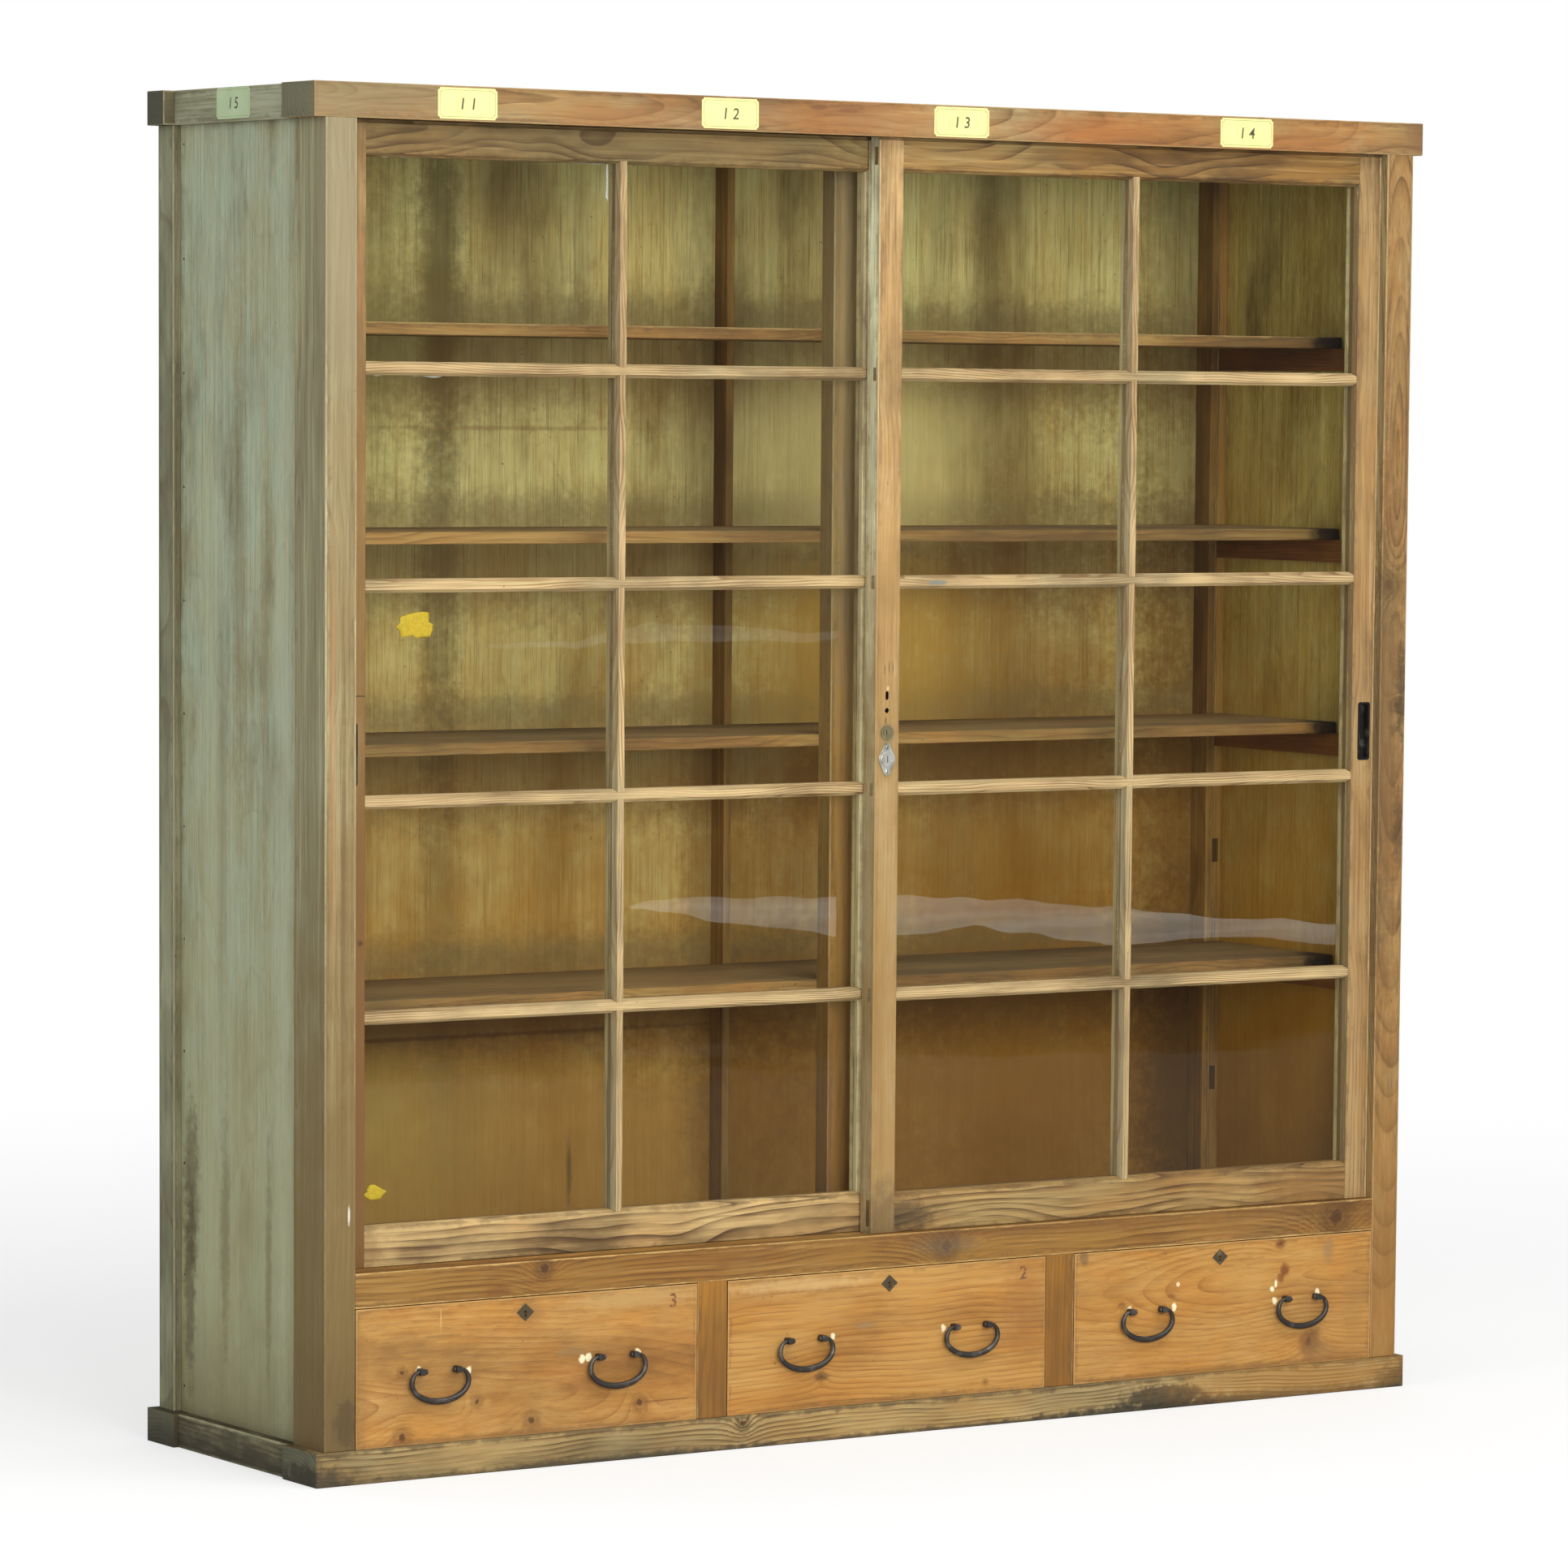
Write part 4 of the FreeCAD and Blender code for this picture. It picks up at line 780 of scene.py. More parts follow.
LEFT_DOOR_FRONT = -0.186
RIGHT_DOOR_FRONT = -0.217
MUNTIN_PLANE = -0.214
LOCK_HOLE_PLANE = -0.2078
LOCK_HOLE_DEPTH = 0.0085
LOCK_X = -0.002
DOOR_BARS = {
    "left_stile": (DOOR, "z", 0.05, {"Rings": 0.3, "Ring_width": 0.004}),
    "right_stile": (DOOR, "z", -0.04, {"Rings": 0.35, "Ring_width": 0.004}),
    "top_rail": (RAIL, "x", 0.03, {"Rings": 0.7, "Ring_width": 0.006, "Wander": 0.02, "Weather": 0.5}),
    "bottom_rail": (RAIL, "x", -0.06, {"Rings": 0.8, "Ring_width": 0.007, "Wander": 0.016}),
    "muntins": (
        MUNTIN, "crossed", 0.02,
        {"Rings": 0.7, "Ring_width": 0.0032, "Wander": 0.012, "Grime": 0.0, "Weather": 0.5},
    ),
}
DOOR_LOOKS = {
    "left_door_left_stile": {
        "fades": [("z", 0.7, 1.9, (104, 66, 8), 1.0), ("z", 1.0, 1.9, (136, 112, 72), 0.4)],
        "blots": blots_on(
            LEFT_DOOR_FRONT, MARK_DEPTH,
            (-0.8, 1.0175, 0.04, 0.0007, DARK, 0.9, 0.3, 0.02),
            (-0.795, 0.698, 0.004, 0.004, DARK, 0.7, 0.5, 0.4),
            (-0.8, 0.55, 0.05, 0.3, BROWN, 0.3, 0.6, 0.3),
        ),
    },
    "left_door_top_rail": {
        "Tint_colour": (136, 106, 62),
        "blots": blots_on(
            LEFT_DOOR_FRONT, MARK_DEPTH,
            # Darker over the rail: painted shadow.
            (-0.40, 1.733, 0.5, 0.03, (96, 80, 50), 0.4, 0.7, 0.5),
        ),
    },
    "left_door_bottom_rail": {
        "Early": (202, 172, 116),
        "Tint_colour": (186, 146, 90),
        "blots": blots_on(
            LEFT_DOOR_FRONT, MARK_DEPTH,
            (-0.79, 0.297, 0.03, 0.02, (112, 84, 50), 0.5, 0.6, 0.5),
        ),
    },
    "right_door_left_stile": {
        # Its face turned to the left is made near white by the side colour: painted light.
        "Side_colour": (244, 246, 204),
        "Sides": 1.0,
        "Early": (192, 160, 108),
        "Tint_colour": (182, 144, 92),
        "fades": [("z", 0.7, 1.8, (138, 108, 60), 0.8)],
        "blots": blots_on(
            RIGHT_DOOR_FRONT, MARK_DEPTH,
            (-0.006, 1.041, 0.0008, 0.007, PENCIL, 0.8, 0.4, 0.2),
            (0.001, 1.044, 0.0008, 0.008, PENCIL, 0.8, 0.4, 0.2),
            (0.007, 1.043, 0.0008, 0.009, PENCIL, 0.8, 0.4, 0.2),
            (-0.004, 0.972, 0.0015, 0.006, PENCIL, 0.7, 0.4, 0.4),
            (-0.001, 1.016, 0.0022, 0.003, (220, 188, 142), 0.5, 0.5, 0.5),
        ) + blots_on(
            LOCK_HOLE_PLANE, LOCK_HOLE_DEPTH,
            # The bottoms of the two lock holes are painted near black: painted shade.
            (LOCK_X, 0.986, 0.012, 0.012, HOLE_SHADE, 1.0, 0.05, 0.0),
            (LOCK_X, 1.0062, 0.012, 0.016, HOLE_SHADE, 1.0, 0.05, 0.0),
        ) + blots_on(
            RIGHT_DOOR_FRONT, MARK_DEPTH,
            (LOCK_X, 0.92, 0.017, 0.024, (120, 104, 72), 0.4, 0.5, 0.4),
            (LOCK_X, 0.956, 0.013, 0.013, (120, 112, 84), 0.5, 0.4, 0.3),
            (0.0, 0.28, 0.03, 0.06, DARK_GREY_BROWN, 0.45, 0.5, 0.5),
        ),
    },
    # The face of this stile turned to the left is made dark by the side colour: painted shade.
    "right_door_right_stile": {"Side_colour": (92, 82, 50), "Sides": 0.9, "Early": (160, 132, 88)},
    "right_door_top_rail": {"Early": (142, 110, 60), "Tint_colour": (128, 90, 38)},
    "right_door_bottom_rail": {
        "blots": blots_on(
            RIGHT_DOOR_FRONT, MARK_DEPTH,
            (0.03, 0.297, 0.05, 0.018, DARK_GREY_BROWN, 0.6, 0.5, 0.5),
            (0.76, 0.297, 0.12, 0.03, (112, 78, 40), 0.5, 0.6, 0.5),
        ),
    },
    "right_door_muntins": {
        "blots": blots_on(
            MUNTIN_PLANE, MARK_DEPTH,
            (0.080, 1.158, 0.016, 0.003, (110, 118, 112), 0.8, 0.4, 0.6),
        ),
    },
}
for side in ("left", "right"):
    for bar, (colours, axis, offset, looks) in DOOR_BARS.items():
        node = side + "_door_" + bar
        x, y, z = (sum(ends) / 2 for ends in zip(*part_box(node)))
        pith = (x + offset, y + 0.05) if axis == "z" else (y + 0.06, z + offset)
        looks = {"Stain": 0.25, "Stain_size": 0.1, **looks, **DOOR_LOOKS.get(node, {})}
        board(node, colours, axis, pith, 0.0006, bar != "muntins", **looks)
    board(side + "_door_beads", DOOR, "z", (0.0, 0.1), 0.0)


def make_glass():
    """Old sheet glass: clear and a little wavy."""
    clear_tint = (0.98, 0.99, 0.97, 1.0)
    material, n, shader = new_material("old sheet glass")
    n.surface(shader, clear_tint, 0.0, n.noise(n.place(), 5.0), 0.06, 0.004)
    shader.inputs["Transmission Weight"].default_value = 1.0
    shader.inputs["IOR"].default_value = 1.5
    path = n.add("ShaderNodeLightPath")
    clear = n.add("ShaderNodeBsdfTransparent", {"Color": clear_tint})
    through = n.math("MAXIMUM", path.outputs["Is Shadow Ray"], path.outputs["Is Diffuse Ray"])
    n.blend(through, shader, clear, material.node_tree.nodes["Material Output"])
    return material


def metal(name, colour, worn, roughness, wear=0.4, metallic=1.0, scale=220.0):
    """Metal with a mottled, partly worn surface."""
    material, n, shader = new_material(name)
    place = n.place()
    cloud = n.noise(place, scale, 4.0, 0.65)
    rub = n.ramp(n.noise(place, scale / 4, 3.0), 0.62 - wear * 0.3, 0.75)
    tone = n.mix(rub, rgb(*colour), rgb(*worn))
    n.surface(shader, tone, n.times_plus(cloud, 0.35, roughness), cloud, 0.6, 0.0002)
    shader.inputs["Metallic"].default_value = metallic
    return material


iron = metal("black forged iron", (84, 79, 74), (128, 120, 110), 0.3, metallic=0.75)
steel_plate = metal("dark steel plate", (84, 74, 56), (128, 112, 82), 0.4, metallic=0.4)
nickel = metal("nickelled lock", (216, 216, 208), (150, 148, 134), 0.2, wear=0.6, metallic=0.65)
tarnish = metal("tarnished rose", (128, 118, 88), (160, 148, 112), 0.35, metallic=0.5)
cup = metal("blackened cup", (44, 42, 40), (92, 90, 84), 0.3, metallic=0.6)
glass = make_glass()
dress("right_door_lock_plate", nickel, 0.0003)
dress("right_door_lock_plug", nickel)
dress("right_door_old_lock", tarnish, 0.0003)
for side in ("left", "right"):
    dress(side + "_door_panes", glass)
    dress(side + "_door_finger_pull", cup, 0.0003)


# Drawers: pith and lean of the front's grain, its knots, its marks and the traces of cream paint by the bails

PAINT_TRACE = (0.0047 * 0.8, 0.0047, CREAM, 0.85, 0.35, 0.8)
DRAWERS = {
    "left_drawer": (
        (-0.190, 0.098),
        (0.10, -0.56),
        (
            (-0.645, 0.095, 0.007), (-0.758, 0.141, 0.006), (-0.396, 0.0745, 0.009), (-0.563, 0.064, 0.010),
            (-0.757, 0.0555, 0.011),
        ),
        (
            (-0.70, 0.185, 0.03, 0.002, (128, 94, 52), 0.6),
            (-0.735, 0.176, 0.012, 0.003, (128, 94, 52), 0.5),
            (-0.505, 0.15, 0.02, 0.006, (132, 108, 70), 0.5),
            (-0.49, 0.115, 0.012, 0.02, (150, 100, 50), 0.4),
            (-0.70, 0.207, 0.001, 0.014, (206, 176, 124), 0.45, 0.6, 0.3),
            (-0.567, 0.207, 0.02, 0.018, (120, 88, 50), 0.4, 0.6, 0.4),
            (-0.40, 0.215, 0.10, 0.012, (170, 140, 90), 0.5, 0.6, 0.5),
            (-0.60, 0.047, 0.22, 0.005, (120, 84, 42), 0.5, 0.6, 0.6),
            (-0.82, 0.1, 0.012, 0.08, (132, 92, 46), 0.5, 0.6, 0.5),
            (-0.36, 0.075, 0.05, 0.001, (96, 60, 30), 0.6, 0.4, 0.2),
        ),
        ((-0.7335, 0.143), (-0.6575, 0.137), (-0.4755, 0.141), (-0.486, 0.139), (-0.400, 0.142)),
    ),
    "centre_drawer": (
        (-0.150, 0.26),
        (0.03, 0.1),
        ((-0.109, 0.087, 0.006), (0.16, 0.06, 0.004)),
        (
            (-0.109, 0.087, 0.012, 0.004, (96, 66, 36), 0.6),
            (-0.039, 0.153, 0.016, 0.004, (134, 110, 74), 0.6),
            (0.225, 0.165, 0.03, 0.06, (140, 92, 44), 0.5, 0.7, 0.5),
            (0.0, 0.048, 0.2, 0.005, (120, 84, 42), 0.5, 0.6, 0.6),
            (-0.14, 0.215, 0.10, 0.008, (196, 164, 112), 0.5, 0.6, 0.5),
        ),
        ((-0.0905, 0.142), (0.0895, 0.140)),
    ),
    "right_drawer": (
        (-0.186, 0.17),
        (-0.08, 0.36),
        ((0.717, 0.076, 0.012), (0.664, 0.220, 0.006), (0.389, 0.150, 0.004)),
        (
            (0.672, 0.181, 0.008, 0.008, RUST, 0.85, 0.5, 0.6),
            (0.665, 0.172, 0.006, 0.007, RUST, 0.7, 0.5, 0.6),
            (0.657, 0.163, 0.003, 0.006, CREAM, 0.9, 0.3, 0.4),
            (0.651, 0.156, 0.004, 0.004, CREAM, 0.9, 0.3, 0.4),
            (0.664, 0.220, 0.007, 0.005, RUST, 0.7, 0.5, 0.5),
            (0.324, 0.222, 0.008, 0.010, (96, 74, 50), 0.6),
            (0.475, 0.157, 0.008, 0.004, RUST, 0.5, 0.5, 0.6),
            (0.7215, 0.076, 0.016, 0.020, (110, 74, 44), 0.55, 0.6, 0.6),
            (0.74, 0.06, 0.03, 0.016, (130, 96, 56), 0.5, 0.6, 0.6),
            (0.75, 0.205, 0.008, 0.016, (124, 106, 78), 0.5, 0.6, 0.6),
            (0.486, 0.1735, 0.003, 0.003, (226, 190, 160), 0.9, 0.3, 0.3),
            (0.80, 0.12, 0.02, 0.09, (150, 112, 60), 0.5, 0.7, 0.5),
            (0.55, 0.048, 0.24, 0.005, (120, 84, 42), 0.5, 0.6, 0.6),
        ),
        ((0.4025, 0.143), (0.4795, 0.142), (0.6560, 0.138), (0.7315, 0.146)),
    ),
}
for drawer, (pith, lean, knots, marks, traces) in DRAWERS.items():
    board(
        drawer + "_front", DRAWER, "x", pith, 0.0006, lean=lean,
        Stain=0.25, Stain_size=0.12, Ring_width=0.007, Rings=0.45, Wander=0.012, Weather=0.3, Sides=0.0,
        knots=[((x, CASE_FRONT + 0.002, z), size) for x, z, size in knots],
        blots=blots_on(CASE_FRONT, 0.05, *marks, *[(*trace, *PAINT_TRACE) for trace in traces]),
    )
    board(drawer + "_box", SHELF, "y", (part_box(drawer + "_front")[0].x - 0.1, 0.1), 0.0006)
    board(drawer + "_bottom", PLY_OUTSIDE, "x", (1.0, 1.0), 0.0, Rings=0.1)
    dress(drawer + "_lock", steel_plate)
    dress(drawer + "_bail_posts", iron, 0.0008)
    dress(drawer + "_left_bail", iron)
    dress(drawer + "_right_bail", iron)


# Small pieces


def finished(name, maker, materials, body):
    """Object made from a drawn mesh, with clean outward faces, riding on a body."""
    bmesh.ops.remove_doubles(maker, verts=maker.verts, dist=0.000001)
    bmesh.ops.recalc_face_normals(maker, faces=maker.faces)
    mesh = bpy.data.meshes.new(name)
    maker.to_mesh(mesh)
    maker.free()
    for material in materials:
        mesh.materials.append(material)
    piece = in_scene(name, mesh)
    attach(piece, body)
    return piece


def worked_out(holder):
    """Mesh of an object as its modifiers or its text leave it; the object goes."""
    holder.update_tag()
    bpy.context.view_layer.update()
    mesh = bpy.data.meshes.new_from_object(holder.evaluated_get(bpy.context.evaluated_depsgraph_get()))
    bpy.data.objects.remove(holder)
    maker = bmesh.new()
    maker.from_mesh(mesh)
    return maker


def skin(maker, rings, inked=None):
    """Closed skin over a row of rings; the step numbered inked takes the second material."""
    for step, (near, far) in enumerate(zip(rings, rings[1:])):
        for number, corner in enumerate(near):
            following = (number + 1) % len(near)
            face = maker.faces.new((corner, near[following], far[following], far[number]))
            face.material_index = int(step == inked)
            face.smooth = True
    maker.faces.new(rings[0])
    maker.faces.new(rings[-1])


# Bails: forged rods, thick at the bottom, with a small knob inside each post

BAIL_HALF_WIDTH = 0.0423
BAIL_DROP = 0.040
BAIL_SHOULDER = 0.015
BAIL_MOUTH = 0.0312
BAIL_AXIS_Y = -0.240
BAIL_AXIS_Z = 0.141
BAIL_RADII = (0.0044, 0.0034, 0.00225)
BAIL_DEPTH = 0.0039
BAIL_ROUND = 18


def bail_half_line():
    """Middle line and radius of half a bail, from the bottom to the knob inside its post."""
    line = []
    lower = BAIL_DROP - BAIL_SHOULDER
    bottom, arm, end = BAIL_RADII
    for step in range(22):
        angle = math.radians(90 * step / 22)
        radius = bottom + (arm - bottom) * math.sin(angle) ** 2
        line.append((BAIL_HALF_WIDTH * math.sin(angle), -BAIL_SHOULDER - lower * math.cos(angle), radius))
    turn = BAIL_HALF_WIDTH - BAIL_MOUTH
    for step in range(12):
        angle = math.radians(90 * step / 11)
        radius = arm + (end - arm) * math.sin(angle) ** 2
        line.append((BAIL_MOUTH + turn * math.cos(angle), -BAIL_SHOULDER * (1 - math.sin(angle)), radius))
    knob = ((0.0225, 1.0), (0.0222, 1.35), (0.0214, 1.6), (0.0204, 1.55), (0.0196, 1.2), (0.0192, 0.55))
    return line + [(x, 0.0, end * swell) for x, swell in knob]


def make_bail(name, x_middle, body, material):
    """One bail swept round its line, with the small unevenness of forging."""
    right = bail_half_line()
    line = [(-x, z, radius) for x, z, radius in reversed(right)][:-1] + right
    maker = bmesh.new()
    rings = []
    for number, (x, z, radius) in enumerate(line):
        before, after = line[max(number - 1, 0)], line[min(number + 1, len(line) - 1)]
        along = Vector((after[0] - before[0], 0.0, after[1] - before[1])).normalized()
        across = along.cross(Vector((0.0, -1.0, 0.0)))
        centre = Vector((x_middle + x, BAIL_AXIS_Y, BAIL_AXIS_Z + z))
        uneven = 1.0 if z > -0.004 else 1.0 - 0.05 * abs(noise.noise(centre * 130.0))
        depth = Vector((0.0, -min(radius, BAIL_DEPTH), 0.0))
        ring = []
        for step in range(BAIL_ROUND):
            angle = 2 * math.pi * step / BAIL_ROUND
            out = depth * math.cos(angle) + across * radius * math.sin(angle)
            ring.append(maker.verts.new(centre + out * uneven))
        rings.append(ring)
    skin(maker, rings)
    piece = finished(name, maker, [material], body)
    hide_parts(body)
    return piece


DRAWER_MIDDLES = {"left_drawer": -0.567, "centre_drawer": 0.0, "right_drawer": 0.567}
BAIL_OFFSETS = {"left": -0.138, "right": 0.132}
for drawer, middle in DRAWER_MIDDLES.items():
    for side, offset in BAIL_OFFSETS.items():
        body = drawer + "_" + side + "_bail"
        make_bail(body + "_forged", middle + offset, body, iron)


# Screws and nails


def make_nail_tree():
    """A low domed head at every corner of the given mesh."""
    tree = bpy.data.node_groups.new("nail heads", "GeometryNodeTree")
    names = ("Geometry", "Head radius", "Head height", "Turn", "Seed", "Material")
    for name, kind in zip(names, ("Geometry", "Float", "Float", "Vector", "Int", "Material")):
        tree.interface.new_socket(name=name, in_out="INPUT", socket_type="NodeSocket" + kind)
    tree.interface.new_socket(name="Geometry", in_out="OUTPUT", socket_type="NodeSocketGeometry")
    n = Nodes(tree)
    given = tree.nodes.new("NodeGroupInput").outputs
    head = n.add("GeometryNodeMeshUVSphere", {"Segments": 10, "Rings": 6, "Radius": given["Head radius"]})
    scale = n.join(1.0, 1.0, n.over(given["Head height"], given["Head radius"]))
    low = n.add("GeometryNodeTransform", {"Geometry": head.outputs["Mesh"], "Scale": scale})
    spread = n.add("FunctionNodeRandomValue", {2: 0.75, 3: 1.2, "Seed": given["Seed"]}, data_type="FLOAT")
    points = {"Points": given["Geometry"], "Instance": low.outputs[0], "Rotation": given["Turn"]}
    placed = n.add("GeometryNodeInstanceOnPoints", {**points, "Scale": spread.outputs[1]})
    real = n.add("GeometryNodeRealizeInstances", {0: placed.outputs[0]})
    dressed = n.add("GeometryNodeSetMaterial", {"Geometry": real.outputs[0], "Material": given["Material"]})
    n.feed(tree.nodes.new("NodeGroupOutput").inputs[0], dressed.outputs[0])
    return tree


NAIL_TREE = make_nail_tree()


def nail_heads(name, places, turn, radius, height, seed):
    """Rusty nail heads at the given places of the case."""
    seedbed = bpy.data.meshes.new(name + " places")
    seedbed.from_pydata(places, [], [])
    holder = in_scene(name + " places", seedbed)
    modifier = holder.modifiers.new("nail heads", "NODES")
    modifier.node_group = NAIL_TREE
    values = {"Head radius": radius, "Head height": height, "Turn": turn, "Seed": seed, "Material": rusty}
    for item in NAIL_TREE.interface.items_tree:
        if item.in_out == "INPUT" and item.name in values:
            modifier[item.identifier] = values[item.name]
    maker = worked_out(holder)
    for face in maker.faces:
        face.smooth = True
    return finished(name, maker, [rusty], "case")


def spaced(start, end, step):
    """Places from start to end, about step apart."""
    count = max(1, round((end - start) / step))
    return [start + (end - start) * number / count for number in range(count + 1)]


BACK = 0.2265
UPRIGHT_NAIL_LINES = (-0.857, -0.292, 0.292, 0.857)
LEVEL_NAIL_LINES = (0.06, 1.735)
PANEL_NAIL_LINES = (-0.138, 0.176)
QUARTER = math.pi / 2
rusty = metal("rusty nails", (70, 52, 38), (110, 78, 50), 0.5, metallic=0.5, scale=900.0)
back_places = [(x, BACK, z) for x in UPRIGHT_NAIL_LINES for z in spaced(0.07, 1.72, 0.11)]
back_places += [(x, BACK, z) for z in LEVEL_NAIL_LINES for x in spaced(-0.8, 0.8, 0.13)]
nail_heads("back_nails", back_places, (QUARTER, 0.0, 0.0), 0.0035, 0.0006, 3)
for side, x in (("left", SIDE_PLANE), ("right", -SIDE_PLANE)):
    edge_places = [(x, y, z) for y in PANEL_NAIL_LINES for z in spaced(0.08, 1.73, 0.15)]
    nail_heads(side + "_panel_nails", edge_places, (0.0, QUARTER, 0.0), 0.0018, 0.0004, 5)


def screw_head(maker, centre, radius, height, slot_angle):
    """Domed screw head facing the front, with a thin near-black bar across its top for the slot: painted
    shade of the slot.
    """
    rings = []
    for share, rise in ((1.0, 0.0), (0.96, 0.45), (0.8, 0.78), (0.5, 0.96)):
        ring = []
        for step in range(20):
            angle = 2 * math.pi * step / 20 + slot_angle
            x, z = radius * share * math.cos(angle), radius * share * math.sin(angle)
            ring.append(maker.verts.new((centre[0] + x, centre[1] - height * rise, centre[2] + z)))
        rings.append(ring)
    skin(maker, rings)
    along = Vector((math.cos(slot_angle), 0.0, math.sin(slot_angle)))
    over = Vector((-along.z, 0.0, along.x))
    corners = []
    for depth in (0.9, 1.02):
        for a, b in ((-1, -1), (1, -1), (1, 1), (-1, 1)):
            place = Vector(centre) + along * a * radius * 0.86 + over * b * radius * 0.13
            corners.append(maker.verts.new((place.x, centre[1] - height * depth, place.z)))
    for face in ((0, 1, 2, 3), (4, 5, 6, 7), (0, 1, 5, 4), (1, 2, 6, 5), (2, 3, 7, 6), (3, 0, 4, 7)):
        maker.faces.new([corners[number] for number in face]).material_index = 1


LOCK_Z = 0.9202
LOCK_FACE = -0.2185
# Near black for the screw slots: painted shade.
slot_shade = metal("painted shade in slots", (30, 28, 26), (52, 46, 38), 0.7, metallic=0.0)
screws = bmesh.new()
for rise, slot_angle in ((0.0165, 1.25), (-0.0165, 1.7)):
    screw_head(screws, (LOCK_X, LOCK_FACE, LOCK_Z + rise), 0.0030, 0.0011, slot_angle)
finished("lock_screws", screws, [nickel, slot_shade], "right_door")


# Paper labels, left blank but for a plain number, and numbers inked on two drawers

NOTCH = 0.0032
PAPER = 0.0003
INK_THICKNESS = 0.00004


def label_outline(width, height, inset):
    """Rectangle with hollowed corners, set in from the edge of the paper."""
    x, z = width / 2 - inset, height / 2 - inset
    corners = []
    for sign_x, sign_z, start in ((1, 1, 270), (-1, 1, 0), (-1, -1, 90), (1, -1, 180)):
        for step in range(5):
            angle = math.radians(start - 22.5 * step)
            corners.append((sign_x * x + NOTCH * math.cos(angle), sign_z * z + NOTCH * math.sin(angle)))
    return corners


def on_face(place, outward, a, b, lift):
    """Corner on an upright face: a along it to the viewer's right, b upwards, lift off it."""
    x, y, z = place
    if outward == "front":
        return (x + a, y - lift, z + b)
    return (x - lift, y - a, z + b)


def plain_paper(name, light, dark):
    """Yellowed paper with a few fox marks."""
    material, n, shader = new_material(name)
    place = n.place()
    fox = n.ramp(n.noise(place, 160.0, 3.0, 0.6), 0.62, 0.8)
    tint = n.mix(n.noise(place, 30.0, 3.0), rgb(*light), rgb(*dark))
    colour = n.mix(n.times(fox, 0.5), tint, rgb(190, 160, 96))
    n.surface(shader, colour, n.times_plus(fox, 0.2, 0.55), n.noise(place, 400.0, 3.0), 0.5, 0.0002)
    return material


def old_ink(name, colour, faint, scale):
    """Ink or paint that has worn away in places."""
    material, n, shader = new_material(name)
    worn = n.ramp(n.noise(n.place(), scale, 4.0, 0.7), 0.42, 0.62)
    tone = n.mix(worn, rgb(*colour), rgb(*faint))
    n.surface(shader, tone, n.times_plus(worn, 0.3, 0.5), worn, 0.4, 0.0001)
    return material


paper = plain_paper("label paper", (218, 212, 146), (206, 198, 126))
# The side label's paper is a darker, greener copy of the same paper: painted shade of the side.
shaded_side_paper = plain_paper("shaded side label paper", (176, 192, 156), (150, 168, 128))
border_ink = old_ink("label border", (126, 134, 84), (176, 176, 116), 700.0)
number_ink = old_ink("number ink", (66, 60, 44), (104, 94, 66), 500.0)
drawer_ink = old_ink("drawer number", (104, 66, 36), (150, 102, 56), 420.0)


def number_mesh(name, digits, place, outward, size, material, body, lean=0.0, bold=0.0):
    """Plain numbers as thin solid figures on an upright face."""
    curve = bpy.data.curves.new(name, "FONT")
    curve.body = digits
    curve.size = size
    curve.extrude = INK_THICKNESS
    curve.offset = bold
    curve.shear = lean
    curve.align_x = "CENTER"
    curve.align_y = "CENTER"
    curve.resolution_u = 4
    maker = worked_out(in_scene(name + " curve", curve))
    for corner in maker.verts:
        corner.co = on_face(place, outward, *corner.co)
    return finished(name, maker, [material], body)


def make_label(name, place, outward, width, height, sheet, digits):
    """Sheet of paper with a printed border and a number, held flat on the wood."""
    maker = bmesh.new()
    rings = []
    for inset, lift in ((0.0, 0.0), (0.0, PAPER), (0.0026, PAPER), (0.0034, PAPER)):
        outline = label_outline(width, height, inset)
        rings.append([maker.verts.new(on_face(place, outward, a, b, lift)) for a, b in outline])
    skin(maker, rings, inked=2)
    for face in maker.faces:
        face.smooth = False
    finished(name, maker, [sheet, border_ink], "case")
    raised = on_face(place, outward, 0.0, -0.001, PAPER + INK_THICKNESS)
    number_mesh(name + "_number", digits, raised, outward, 0.021, number_ink, "case", 0.12, 0.0002)


FRONT_LABELS = ((-0.6657, 0.0876), (-0.2678, 0.0884), (0.1005, 0.0890), (0.5785, 0.0905))
FRONT_LABEL_Z = 1.7775
FRONT_LABEL_HEIGHT = 0.040
SIDE_LABEL_PLACE = (-0.872, 0.0165, 1.7793)
SIDE_LABEL_SIZE = (0.0910, 0.0405)
DRAWER_NUMBER_OFFSET = 0.222
DRAWER_NUMBER_Z = 0.207
DRAWER_NUMBER_SIZE = 0.026
for number, (x, width) in enumerate(FRONT_LABELS, 1):
    place = (x, CASE_FRONT, FRONT_LABEL_Z)
    make_label("label_front_%d" % number, place, "front", width, FRONT_LABEL_HEIGHT, paper, "1 %d" % number)
make_label("label_side", SIDE_LABEL_PLACE, "side", *SIDE_LABEL_SIZE, shaded_side_paper, "1 5")
for drawer, digit in (("left_drawer", "3"), ("centre_drawer", "2")):
    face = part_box(drawer + "_front")[0].y - INK_THICKNESS
    place = (DRAWER_MIDDLES[drawer] + DRAWER_NUMBER_OFFSET, face, DRAWER_NUMBER_Z)
    name = drawer + "_number"
    number_mesh(name, digit, place, "front", DRAWER_NUMBER_SIZE, drawer_ink, drawer, bold=0.0005)


# Putty and dried paint on the glass

LEFT_PANE = -0.1710


